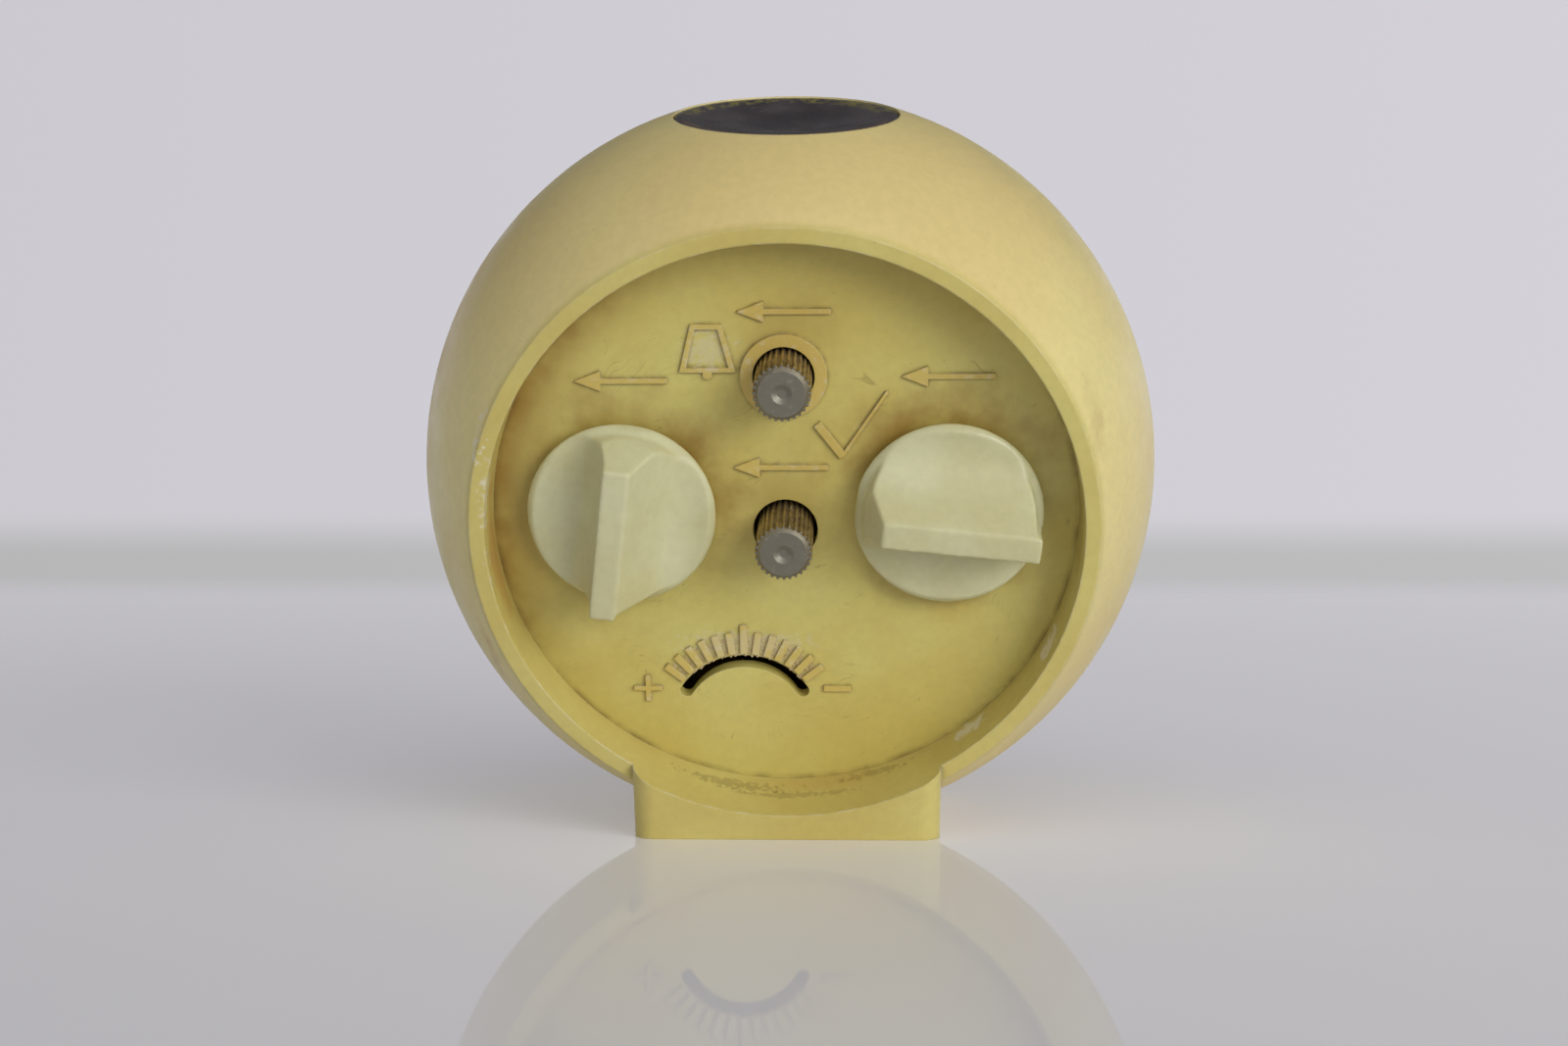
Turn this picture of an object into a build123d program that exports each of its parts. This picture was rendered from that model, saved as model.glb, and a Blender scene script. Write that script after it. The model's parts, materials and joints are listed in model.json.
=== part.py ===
from build123d import *
from math import acos, atan2, cos, degrees, hypot, radians, sin, sqrt
import os

# Wind-up alarm clock in a ball case, seen from behind: two winding keys, two setting
# shafts, a rate slot and a dished stop button on top. Millimetres, +Z up.
# Origin: on the table, straight below the centre of the ball. The back faces -Y.
#
# Every piece is drawn in the leaning clock frame: x to the right seen from behind,
# y up along the back plate, z out of the back. stand() then sets it on the table.

# ---- case -------------------------------------------------------------------------
ball_radius = 45.0          # outside of the ball
wall = 2.2                  # case wall
lean = 19.25                # the dial looks up by this angle, in degrees
rim_level = 27.46           # flat rim of the back recess, from the ball's centre
recess_radius = 33.9
recess_depth = 6.6          # rim down to the back plate
seam_level = -3.5           # joint between rear and front shell
seam_lip = 2.0              # tongue of the rear shell inside the front shell
seam_tongue = 1.0
seam_clearance = 0.1
foot_width = 36.4
foot_proud = 2.7            # foot stands out past the rim
foot_round = 2.6            # upright corners of the foot
front_level = 26.5          # flat front face, from the ball's centre
front_flange = 2.0
window_radius = 32.8

# ---- back plate -------------------------------------------------------------------
plate_thickness = 2.0
plate_seat_clearance = 0.3
mark_height = 0.35
key_spacing = 37.5          # between the two winding arbors
key_rise = 1.4
time_shaft_rise = -1.4      # also the centre of the dial
alarm_shaft_rise = 17.25
time_hole_radius = 3.75
alarm_hole_radius = 3.5
boss_radius = 4.92
boss_height = 0.6
arbor_hole_radius = 3.3
slot_x = -5.13
slot_y = -26.34
slot_radius = 8.14
slot_width = 1.58
slot_half_angle = 58.6
tick_count = 13
tick_half_angle = 51.0

# ---- keys, shafts, button ---------------------------------------------------------
key_radius = 10.95
key_front_radius = 9.95
key_base_radius = 10.3
key_gap = 0.8               # key above the back plate
key_disc = 2.5              # height of the disc
key_grip = 10.0             # top of the grip above the back plate
grip_offset = 2.05          # steep side of the grip from the axis
grip_flat = 3.0
grip_reach = 10.1           # pointer end from the axis
tail_start = 7.7            # the grip slopes down from here, behind the axis
tail_end = 10.2
arbor_reach = 4.1           # winding arbor inside the key
time_key_angle = -6.0       # where the pointer points, seen from behind
alarm_key_angle = -97.5
knurl_radius = 3.25
knurl_teeth = 28
knurl_depth = 0.28
time_shaft_reach = 7.6      # above the back plate
alarm_shaft_reach = 7.1
button_hole_radius = 13.37
button_clearance = 0.27
button_dish = 1.6
button_lip = 0.8            # flat rim round the dish
button_travel = 2.0
button_stem_radius = 1.7

# ---- movement ---------------------------------------------------------------------
rear_inner = 10.0           # inner face of the rear movement plate
front_inner = -8.0          # inner face of the front movement plate
sheet = 1.0                 # movement plate thickness
sheet_radius = 35.5
pillar_circle = 31.2        # lower pillars from the middle of the sheets
pillar_past_wheel = 4.22    # lower pillar axis beyond the tips of a great wheel
pillar_past_escape = 8.65    # upper pillar axis beyond the alarm escape arbor
pillar_radius = 2.0
running = 0.05              # radial clearance of a turning part
fixed = 0.03                # radial clearance of a part that is pushed on
arbor_radius = 0.9
pivot_radius = 0.5
winding_arbor_radius = 2.4
set_shaft_radius = 1.2
hour_pipe_radius = 2.0
alarm_pipe_radius = 2.8
centre_sleeve_radius = 1.95

great_teeth = 60
centre_pinion_teeth = 12
centre_teeth = 60
third_pinion_teeth = 8
third_teeth = 48
escape_pinion_teeth = 8
train_module = 0.3
alarm_escape_pinion_teeth = 10
alarm_wheel_teeth = 60
alarm_set_teeth = 20
cannon_teeth = 12
minute_wheel_teeth = 36
minute_pinion_teeth = 10
hour_teeth = 40
cannon_module = 0.35

balance_radius = 9.0
escape_radius = 3.8
mainspring_radius = 13.2
bell_radius = 9.0
bell_height = 5.6
hammer_radius = 1.7
hammer_gap = 1.0            # hammer head to bell at rest
dial_radius = 33.4
crystal_rise = 2.2
crystal_thickness = 1.5

# ---- levels along the clock axis, all from the ball's centre ------------------------
plate_out = rim_level - recess_depth
plate_in = plate_out - plate_thickness
rear_outer = rear_inner + sheet
front_outer = front_inner - sheet
great_level = (-5.5, -4.1)
alarm_great_level = (-3.3, -1.9)
ratchet_gap = 0.25          # ratchet wheel above its great wheel
ratchet_height = 0.9
spring_gap = 0.9            # mainspring above the ratchet wheel
mainspring_top = 7.6
centre_level = (8.4, 9.3)
third_level = (-7.4, -6.7)
escape_level = (2.0, 2.8)
lever_level = (3.6, 4.2)
bridge_level = (5.0, 5.6)   # bridge that carries the rear end of the lever arbor
balance_level = (6.0, 7.6)
hairspring_level = (8.2, 8.7)
cannon_level = (-11.7, -10.6)
hour_level = (-13.5, -12.6)
alarm_level = (-15.5, -14.6)
dial_level = (-17.3, -16.7)
alarm_hand_level = (-18.9, -18.6)
hour_hand_level = (-20.2, -19.8)
minute_hand_level = (-21.5, -21.1)

# ---- places of the arbors ----------------------------------------------------------
centre = (0.0, time_shaft_rise)
time_winding = (key_spacing / 2, key_rise)
alarm_winding = (-key_spacing / 2, key_rise)
alarm_shaft = (0.0, alarm_shaft_rise)
balance_at = (slot_x, slot_y)


def polar(start, length, angle):
    return (start[0] + length * cos(radians(angle)), start[1] + length * sin(radians(angle)))


def gap_between(a, b):
    return hypot(b[0] - a[0], b[1] - a[1])


def bearing(a, b):
    return degrees(atan2(b[1] - a[1], b[0] - a[0]))


great_module = 2 * gap_between(time_winding, centre) / (great_teeth + centre_pinion_teeth)
third_at = polar(centre, train_module * (centre_teeth + third_pinion_teeth) / 2, -60)
escape_at = polar(third_at, train_module * (third_teeth + escape_pinion_teeth) / 2, -119)
lever_at = polar(escape_at, 5.3, bearing(escape_at, balance_at))
bridge_post_at = polar(lever_at, 7.0, bearing(escape_at, balance_at) - 90)
alarm_escape_at = polar(alarm_winding, great_module * (great_teeth + alarm_escape_pinion_teeth) / 2, 62)
alarm_module = 2 * gap_between(centre, alarm_shaft) / (alarm_wheel_teeth + alarm_set_teeth)
minute_at = polar(centre, cannon_module * (cannon_teeth + minute_wheel_teeth) / 2, 215)
hour_module = 2 * gap_between(centre, minute_at) / (hour_teeth + minute_pinion_teeth)
hammer_at = (-6.0, 26.5)
bell_at = (14.5, 19.5)
hammer_swing = bell_radius + hammer_radius + hammer_gap
hammer_reach = sqrt(gap_between(hammer_at, bell_at) ** 2 - hammer_swing ** 2)
hammer_angle = bearing(hammer_at, bell_at) + degrees(atan2(hammer_swing, hammer_reach))
hammer_head_at = polar(hammer_at, hammer_reach, hammer_angle)
winding_reach = hypot(*time_winding)
pillar_reach = great_module * (great_teeth + 2) / 2 + pillar_past_wheel
pillar_cosine = (pillar_circle ** 2 + winding_reach ** 2 - pillar_reach ** 2) / (2 * pillar_circle * winding_reach)
low_pillar = polar((0, 0), pillar_circle, bearing((0, 0), time_winding) - degrees(acos(pillar_cosine)))
high_pillar = polar((0, 0), hypot(*alarm_escape_at) + pillar_past_escape, 125.9)
pillars_at = [high_pillar, (17.0, 23.5), low_pillar, (-low_pillar[0], low_pillar[1])]
posts_at = [(-29.0, -9.0), (29.0, -9.0), (-12.0, 30.5)]


# ---- small shapes used again and again ----------------------------------------------
def stand(shape):
    return Pos(0, 0, ball_radius) * Rot(90 + lean, 0, 0) * shape


def rod(at, radius, low, high):
    return Pos(at[0], at[1], (low + high) / 2) * Cylinder(radius, high - low)


def tube(at, outer, inner, low, high):
    return rod(at, outer, low, high) - rod(at, inner, low - 1, high + 1)


def slab(outline, low, high):
    return extrude(Pos(0, 0, low) * outline, amount=high - low)


def bar(a, b, width):
    middle = ((a[0] + b[0]) / 2, (a[1] + b[1]) / 2)
    return Pos(*middle) * Rot(0, 0, bearing(a, b)) * Rectangle(gap_between(a, b), width)


def toothed(at, teeth, module, level, aim, tooth_at_aim=True, bore=0.0):
    pitch_radius = teeth * module / 2
    tip = pitch_radius + 0.85 * module
    root = pitch_radius - 1.15 * module
    step = 360 / teeth
    start = aim if tooth_at_aim else aim + step / 2
    points = []
    for index in range(teeth):
        middle = start + index * step
        for radius, share in ((root, -0.25), (tip, -0.12), (tip, 0.12), (root, 0.25)):
            points.append(polar(at, radius, middle + share * step))
    blank = slab(make_face(Polyline(*points, close=True)), *level)
    if bore > 0:
        blank -= rod(at, bore, level[0] - 1, level[1] + 1)
    return blank


def spoked(wheel, at, rim_radius, hub_radius, level, spokes=4):
    window = Circle(rim_radius) - Circle(hub_radius)
    for index in range(spokes):
        window -= Rot(0, 0, index * 360 / spokes) * Pos(rim_radius / 2, 0) * Rectangle(rim_radius + 2, 1.5)
    return wheel - slab(Pos(*at) * window, level[0] - 1, level[1] + 1)


def saw_wheel(at, teeth, tip, root, level, bore):
    points = []
    for index in range(teeth):
        middle = index * 360 / teeth
        points.append(polar(at, root, middle))
        points.append(polar(at, tip, middle + 3))
        points.append(polar(at, tip, middle + 6))
    wheel = slab(make_face(Polyline(*points, close=True)), *level)
    return wheel - rod(at, bore, level[0] - 1, level[1] + 1)


def spiral(at, inner, outer, turns, thickness, level, start=0.0):
    count = int(turns * 12)
    inside = []
    outside = []
    for index in range(count + 1):
        share = index / count
        radius = inner + (outer - inner) * share
        angle = start + 360 * turns * share
        inside.append(polar(at, radius - thickness / 2, angle))
        outside.append(polar(at, radius + thickness / 2, angle))
    edges = [Spline(*inside), Line(inside[-1], outside[-1]), Spline(*outside), Line(outside[0], inside[0])]
    return slab(make_face(edges), *level)


def pivoted_arbor(at, radius, low=front_inner, high=rear_inner):
    body = rod(at, radius, low + 0.15, high - 0.15)
    body += rod(at, pivot_radius, low - sheet, high + sheet)
    return body


# ---- case ---------------------------------------------------------------------------
def cavity():
    inside = Sphere(ball_radius - wall)
    keep = rod((0, 0), ball_radius, -front_level + front_flange, plate_in)
    return (inside & keep) + rod((0, 0), plate_seat_radius(), plate_in - 0.01, plate_out)


def plate_seat_radius():
    return sqrt((ball_radius - wall) ** 2 - plate_in ** 2) - plate_seat_clearance


def button_bore():
    return Pos(0, ball_radius, 0) * Rot(90, 0, 0) * Cylinder(button_hole_radius, 30)


def foot_block():
    reach = rim_level + foot_proud - seam_level
    block = Pos(0, -ball_radius / 2, seam_level + reach / 2) * Box(foot_width, ball_radius + 20, reach)
    # the sole is level with the table
    below = stand_inverse(Pos(0, 0, -50) * Box(200, 200, 100))
    block -= below
    return fillet(upright_edges(block), foot_round)


def upright_edges(block):
    # the two rear corners, which run up the foot
    edges = block.edges().filter_by(Axis.Y)
    return edges.group_by(Axis.Z)[-1]


def stand_inverse(shape):
    return Rot(-90 - lean, 0, 0) * Pos(0, 0, -ball_radius) * shape


def rear_shell():
    ball = Sphere(ball_radius) & rod((0, 0), ball_radius + 1, seam_level, rim_level)
    shell = ball + foot_block()
    shell -= cavity()
    shell -= rod((0, 0), recess_radius, plate_out - 0.01, rim_level + foot_proud + 5)
    inner = ball_radius - wall
    tongue_ball = Sphere(inner + seam_tongue) - Sphere(inner)
    tongue = tongue_ball & rod((0, 0), ball_radius, seam_level - seam_lip, seam_level)
    shell += tongue
    return shell - button_bore() - plate_screw_holes()


def front_shell():
    ball = Sphere(ball_radius) & rod((0, 0), ball_radius + 1, -front_level, seam_level)
    shell = ball - cavity()
    shell -= rod(centre, window_radius, -front_level - 5, -front_level + front_flange + 5)
    inner = ball_radius - wall
    groove_ball = Sphere(inner + seam_tongue + seam_clearance)
    depth = seam_lip + seam_clearance
    shell -= groove_ball & rod((0, 0), ball_radius, seam_level - depth, seam_level + 1)
    return shell - button_bore()


def plate_screws_at():
    return [polar((0, 0), recess_radius + 1.9, angle) for angle in (35, 145, 215, 325)]


def plate_screw_holes():
    holes = Part()
    for at in plate_screws_at():
        holes += rod(at, 0.9, plate_out - 1, plate_out + 2.6)
    return holes


# ---- back plate ---------------------------------------------------------------------
def arrow(tip, length):
    head = make_face(Polyline(tip, (tip[0] + 3.0, tip[1] + 1.2), (tip[0] + 3.0, tip[1] - 1.2), close=True))
    return head + bar((tip[0] + 2.9, tip[1]), (tip[0] + length, tip[1]), 0.62)


def bell_mark():
    outer = make_face(Polyline((-10.4, 23.3), (-6.9, 23.3), (-5.4, 17.7), (-11.8, 17.7), close=True))
    inner = make_face(Polyline((-9.9, 22.7), (-7.35, 22.7), (-6.2, 18.25), (-11.0, 18.25), close=True))
    return outer - inner + Pos(-8.6, 17.45) * Circle(0.55)


def hands_mark():
    thick = bar((3.73, 11.6), (6.7, 7.7), 0.95)
    thin = bar((6.5, 7.6), (11.7, 15.4), 0.38)
    return thick + thin


def tick_marks():
    marks = Sketch()
    for index in range(tick_count):
        angle = -tick_half_angle + index * 2 * tick_half_angle / (tick_count - 1)
        long = 12.9 if index == tick_count // 2 else 12.0
        start = slot_radius + slot_width / 2 + 0.25
        middle = Pos(0, (start + long) / 2) * Rectangle(0.85, long - start)
        marks += Pos(slot_x, slot_y) * Rot(0, 0, angle) * middle
    return marks


def plus_and_minus():
    plus = bar((-18.4, -21.7), (-15.0, -21.7), 0.6) + bar((-16.7, -20.0), (-16.7, -23.4), 0.6)
    return plus + bar((4.35, -21.7), (7.65, -21.7), 0.75)


def rate_slot():
    path = CenterArc((slot_x, slot_y), slot_radius, 90 - slot_half_angle, 2 * slot_half_angle)
    return SlotArc(path, slot_width)


def back_plate():
    plate = rod((0, 0), plate_seat_radius() - plate_seat_clearance, plate_in, plate_out)
    marks = arrow((-5.2, 24.75), 10.6) + arrow((-23.75, 16.72), 10.6)
    marks += arrow((13.25, 17.2), 10.6) + arrow((-5.87, 6.35), 10.9)
    for mark in (marks, bell_mark(), hands_mark(), tick_marks(), plus_and_minus()):
        plate += slab(mark, plate_out, plate_out + mark_height)
    plate += rod(alarm_shaft, boss_radius, plate_out, plate_out + boss_height)
    plate -= rod(alarm_shaft, alarm_hole_radius, plate_in - 1, plate_out + 2)
    plate -= rod(centre, time_hole_radius, plate_in - 1, plate_out + 2)
    plate -= slab(rate_slot(), plate_in - 1, plate_out + 1)
    for at in (time_winding, alarm_winding):
        plate -= rod(at, arbor_hole_radius, plate_in - 1, plate_out + 1)
    for at in plate_screws_at():
        plate -= rod(at, 1.1, plate_in - 1, plate_out + 1)
    for at in posts_at:
        plate -= rod(at, 0.8, plate_in - 1, plate_in + 1.4)
    return plate


def screw(at, radius, under_head, end):
    body = rod(at, radius, under_head, end) + rod(at, 1.6, under_head - 1.0, under_head)
    return body - Pos(at[0], at[1], under_head - 0.8) * Box(4, 0.4, 0.5)


def case_screws():
    # four hold the back plate, three hold the movement to its posts
    screws = Part()
    for at in plate_screws_at():
        screws += screw(at, 0.87, plate_in, plate_out + 2.5)
    for at in posts_at:
        screws += screw(at, 0.77, rear_inner, rear_outer + 3.8)
    return screws


def cover_posts():
    posts = Part()
    for at in posts_at:
        posts += rod(at, 2.2, rear_outer, plate_in)
        posts += rod(at, 0.77, plate_in - 0.01, plate_in + 1.3)
        posts -= rod(at, 0.8, rear_outer - 1, rear_outer + 4)
    return posts


# ---- keys and setting shafts ----------------------------------------------------------
def grip_profile():
    # across the grip, then height above the back plate
    steep = grip_offset
    soft = grip_offset - grip_flat
    rim = key_gap + key_disc
    low = key_gap
    edge = rim + 0.1
    gentle = Spline((-key_radius, edge), (-8.3, rim - 0.5), (-5.9, edge), (-3.3, rim + 2.7), (soft, key_grip))
    top = Line((soft, key_grip), (steep, key_grip))
    valley = (steep + 2.9, rim - 0.5)
    cliff = Spline((steep, key_grip), (steep + 0.8, rim + 2.4), valley, (8.0, rim - 0.6), (key_radius, edge))
    right = Line((key_radius, edge), (key_radius, low))
    base = Line((key_radius, low), (-key_radius, low))
    left = Line((-key_radius, low), (-key_radius, edge))
    return make_face([gentle, top, cliff, right, base, left])


def key_pointer():
    # nose of the grip, out over the edge of the disc
    rim = key_gap + key_disc
    nose = Pos(grip_offset - grip_flat / 2, grip_reach / 2 + 2, (key_grip + rim) / 2)
    return nose * Box(grip_flat, grip_reach - 4, key_grip - rim)


def key(at, angle):
    disc_top = key_gap + key_disc
    waist = disc_top - 1.0
    flank = Line((key_base_radius, key_gap), (key_radius, waist))
    side = Line((key_radius, waist), (key_front_radius, disc_top))
    up = Line((key_front_radius, disc_top), (key_front_radius - 0.5, key_grip))
    lid = Line((key_front_radius - 0.5, key_grip), (0, key_grip))
    axis = Line((0, key_grip), (0, key_gap))
    floor = Line((0, key_gap), (key_base_radius, key_gap))
    outline = Plane.XZ * make_face([flank, side, up, lid, axis, floor])
    blank = revolve(outline, Axis.Z)
    profile = extrude(Plane.XZ * grip_profile(), amount=40, both=True)
    body = blank & profile
    body += key_pointer()
    # the grip slopes down to the disc behind the pointer
    drop = key_grip - disc_top
    slope = degrees(atan2(drop, tail_end - tail_start))
    middle = ((tail_start + tail_end) / 2, (key_grip + disc_top) / 2)
    lift = 6.0
    tail = Pos(0, -middle[0] - lift * sin(radians(slope)), middle[1] + lift * cos(radians(slope)))
    body -= tail * Rot(slope, 0, 0) * Box(30, 14, 2 * lift)
    body += rod((0, 0), 3.0, 0.4, key_gap + 0.2)
    body -= rod((0, 0), winding_arbor_radius + fixed, -1, arbor_reach + 0.2)
    return Pos(at[0], at[1], plate_out) * Rot(0, 0, angle - 90) * body


def winding_arbor(at):
    body = rod(at, winding_arbor_radius, front_inner + 0.3, plate_out + arbor_reach)
    return body + rod(at, pivot_radius + 0.5, front_outer, front_inner + 0.4)


def knurled_head(at, low, high):
    points = []
    for index in range(knurl_teeth):
        step = 360 / knurl_teeth
        middle = index * step
        for radius, share in ((knurl_radius - knurl_depth, -0.36), (knurl_radius, -0.14)):
            points.append(polar(at, radius, middle + share * step))
        for radius, share in ((knurl_radius, 0.14), (knurl_radius - knurl_depth, 0.36)):
            points.append(polar(at, radius, middle + share * step))
    head = slab(make_face(Polyline(*points, close=True)), low, high - 0.35)
    cap = Pos(at[0], at[1], high - 0.175) * Cone(knurl_radius - knurl_depth, knurl_radius - 0.6, 0.35)
    dimple = Pos(at[0], at[1], high - 0.15) * Cone(0.5, 1.15, 0.31)
    return head + cap - dimple


def time_set_shaft():
    head = knurled_head(centre, 14.0, plate_out + time_shaft_reach)
    return head + rod(centre, set_shaft_radius, minute_hand_level[0] - 0.6, 14.0)


def alarm_set_shaft():
    head = knurled_head(alarm_shaft, 14.0, plate_out + alarm_shaft_reach)
    return head + rod(alarm_shaft, set_shaft_radius, alarm_level[0] - 0.4, 14.0)


def alarm_set_pinion():
    level = (alarm_level[0] - 0.1, alarm_level[1] + 0.1)
    aim = bearing(alarm_shaft, centre)
    return toothed(alarm_shaft, alarm_set_teeth, alarm_module, level, aim, False, set_shaft_radius + fixed)


# ---- stop button ----------------------------------------------------------------------
def button_top():
    return sqrt(ball_radius ** 2 - button_hole_radius ** 2) - 0.15


def stop_button():
    radius = button_hole_radius - button_clearance
    top = button_top()
    thickness = 1.1
    disc = Pos(0, top - 2.2, 0) * Rot(90, 0, 0) * Cylinder(radius, 4.4)
    dish_radius = radius - button_lip
    hollow_radius = (dish_radius ** 2 + button_dish ** 2) / (2 * button_dish)
    scoop = Pos(0, top - button_dish + hollow_radius, 0) * Sphere(hollow_radius)
    disc -= scoop
    inside = Pos(0, top - button_dish - thickness - 4, 0) * Rot(90, 0, 0) * Cylinder(radius - thickness, 8)
    disc -= inside
    socket = Pos(0, top - button_dish - thickness - 1.2, 0) * Rot(90, 0, 0) * Cylinder(2.9, 2.6)
    bore = Pos(0, top - button_dish - thickness - 2.0, 0) * Rot(90, 0, 0)
    ring = Cylinder(button_hole_radius + 0.8, 0.8) - Cylinder(radius - 0.5, 2)
    flange = Pos(0, top - 3.5, 0) * Rot(90, 0, 0) * ring
    return disc + flange + socket - bore * Cylinder(button_stem_radius + fixed, 3.0)


def button_stem():
    high = button_top() - button_dish - 1.1 - 0.6
    low = 29.6
    return Pos(0, (high + low) / 2, 0) * Rot(90, 0, 0) * Cylinder(button_stem_radius, high - low)


def bracket_top():
    return 33.6


def button_spring():
    low = bracket_top() + 0.05
    high = button_top() - button_dish - 1.1 - 2.6
    wire = 0.25
    path = Helix((high - low - 2 * wire) / 4, high - low - 2 * wire, 2.45)
    section = Plane(origin=path @ 0, z_dir=path % 0) * Circle(wire)
    coil = sweep(section, path=path)
    return Pos(0, low + wire, 0) * Rot(-90, 0, 0) * coil


def button_bracket():
    depth = rear_inner - front_inner - 0.04
    middle = (rear_inner + front_inner) / 2
    plate = Pos(0, bracket_top() - 0.5, middle) * Box(9, 1.0, depth)
    hole = Pos(0, bracket_top(), 0) * Rot(90, 0, 0) * Cylinder(button_stem_radius + running, 10)
    return plate - hole


# ---- movement frame ---------------------------------------------------------------------
def movement_sheet(low):
    plate = rod((0, 0), sheet_radius, low, low + sheet)
    for at in pillars_at:
        plate -= rod(at, 1.0, low - 1, low + 2)
    for at in (third_at, escape_at, balance_at, alarm_escape_at):
        plate -= rod(at, pivot_radius + running, low - 1, low + 2)
    plate -= rod(centre, set_shaft_radius + running, low - 1, low + 2)
    plate -= rod(alarm_shaft, set_shaft_radius + running, low - 1, low + 2)
    return plate


def front_movement_plate():
    plate = movement_sheet(front_outer)
    for at in (time_winding, alarm_winding):
        plate -= rod(at, pivot_radius + 0.5 + running, front_outer - 1, front_inner + 1)
    for at in (hammer_at, lever_at):
        plate -= rod(at, pivot_radius + running, front_outer - 1, front_inner + 1)
    plate -= rod(bridge_post_at, 0.8, front_outer - 1, front_inner + 1)
    plate -= rod(minute_at, 0.8, front_outer - 1, front_inner + 1)
    for at in dial_posts_at():
        plate -= rod(at, 0.8, front_outer - 1, front_inner + 1)
    return plate


def rear_movement_plate():
    plate = movement_sheet(rear_inner)
    for at in (time_winding, alarm_winding):
        plate -= rod(at, winding_arbor_radius + running, rear_inner - 1, rear_outer + 1)
    plate -= rod(hammer_at, arbor_radius + running, rear_inner - 1, rear_outer + 1)
    for at in posts_at:
        plate -= rod(at, 0.8, rear_inner - 1, rear_outer + 1)
    plate -= rod(bell_at, 0.8, rear_inner - 1, rear_outer + 1)
    # stud for the outer end of the hairspring
    return plate + rod(polar(balance_at, 6.0, 0), 0.3, hairspring_level[0], rear_inner + 0.1)


def pillars():
    shafts = Part()
    for at in pillars_at:
        shafts += rod(at, pillar_radius, front_inner, rear_inner)
        shafts += rod(at, 0.97, front_outer - 1.8, rear_outer + 1.8)
    return shafts


def pillar_nuts():
    nuts = Part()
    for at in pillars_at:
        for low in (rear_outer, front_outer - 1.4):
            nut = slab(Pos(*at) * RegularPolygon(2.0, 6), low, low + 1.4)
            nuts += nut - rod(at, 1.0, low - 1, low + 3)
    return nuts


# ---- going train --------------------------------------------------------------------------
def great_wheel(at, partner, level):
    aim = bearing(at, partner)
    wheel = toothed(at, great_teeth, great_module, level, aim, True, winding_arbor_radius + running)
    return spoked(wheel, at, 12.6, 8.0, level, 5)


def ratchet_level(great):
    low = great[1] + ratchet_gap
    return (low, low + ratchet_height)


def ratchet_wheel(at, great):
    return saw_wheel(at, 18, 5.2, 4.5, ratchet_level(great), winding_arbor_radius + fixed)


def click(at, angle, great):
    # pawl and its rivet on the great wheel, shown just clear of the ratchet
    low, high = ratchet_level(great)
    pivot = polar(at, 7.0, angle)
    nose = polar(at, 6.0, angle - 30)
    pawl = slab(Pos(*pivot) * Circle(0.9) + bar(pivot, nose, 0.8), low, high)
    return pawl + rod(pivot, 0.5, great[1], low)


def mainspring(at, start, great):
    level = (ratchet_level(great)[1] + spring_gap, mainspring_top)
    return spiral(at, 3.2, mainspring_radius, 6.5, 0.45, level, start)


def centre_pinion():
    # pinion cut on the long sleeve that carries the centre wheel
    level = (great_level[0] - 0.5, great_level[1] + 0.5)
    aim = bearing(centre, time_winding)
    pinion = toothed(centre, centre_pinion_teeth, great_module, level, aim, False)
    pinion += rod(centre, centre_sleeve_radius, level[0], centre_level[1])
    return pinion - rod(centre, set_shaft_radius + running, level[0] - 1, centre_level[1] + 1)


def centre_wheel():
    aim = bearing(centre, third_at)
    bore = centre_sleeve_radius + fixed
    wheel = toothed(centre, centre_teeth, train_module, centre_level, aim, True, bore)
    return spoked(wheel, centre, 7.4, 3.6, centre_level)


def third_arbor():
    body = pivoted_arbor(third_at, 0.7)
    level = (centre_level[0] - 0.3, centre_level[1] + 0.3)
    aim = bearing(third_at, centre)
    return body + toothed(third_at, third_pinion_teeth, train_module, level, aim, False)


def third_wheel():
    aim = bearing(third_at, escape_at)
    wheel = toothed(third_at, third_teeth, train_module, third_level, aim, True, 0.7 + fixed)
    return spoked(wheel, third_at, 5.7, 2.2, third_level)


def escape_arbor():
    body = pivoted_arbor(escape_at, 0.7)
    level = (third_level[0] - 0.2, third_level[1] + 0.4)
    aim = bearing(escape_at, third_at)
    return body + toothed(escape_at, escape_pinion_teeth, train_module, level, aim, False)


def escape_wheel():
    return saw_wheel(escape_at, 15, escape_radius, escape_radius - 1.1, escape_level, 0.7 + fixed)


def pallet_lever():
    along = bearing(lever_at, balance_at)
    hub = Circle(1.6)
    fork = Pos(2.0, 0) * Rectangle(3.2, 1.0)
    tines = Pos(3.9, 0.55) * Rectangle(1.0, 0.45) + Pos(3.9, -0.55) * Rectangle(1.0, 0.45)
    arms = Rectangle(1.1, 6.4)
    blade = slab(Pos(*lever_at) * Rot(0, 0, along) * (hub + fork + tines + arms), *lever_level)
    for side in (-1, 1):
        pin = polar(lever_at, 2.8, along + 90 * side)
        blade += rod(pin, 0.2, escape_level[1] + 0.2, lever_level[0])
    blade += rod(lever_at, 0.6, front_inner + 0.15, bridge_level[0] - 0.1)
    return blade + rod(lever_at, pivot_radius, front_outer, bridge_level[1])


def lever_bridge():
    strip = bar(lever_at, bridge_post_at, 2.2)
    for end in (lever_at, bridge_post_at):
        strip += Pos(*end) * Circle(1.3)
    bridge = slab(strip, *bridge_level) + rod(bridge_post_at, 1.2, front_inner, bridge_level[0] + 0.1)
    bridge += rod(bridge_post_at, 0.8 - fixed, front_outer, front_inner + 0.1)
    return bridge - rod(lever_at, pivot_radius + running, bridge_level[0] - 1, bridge_level[1] + 1)


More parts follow.
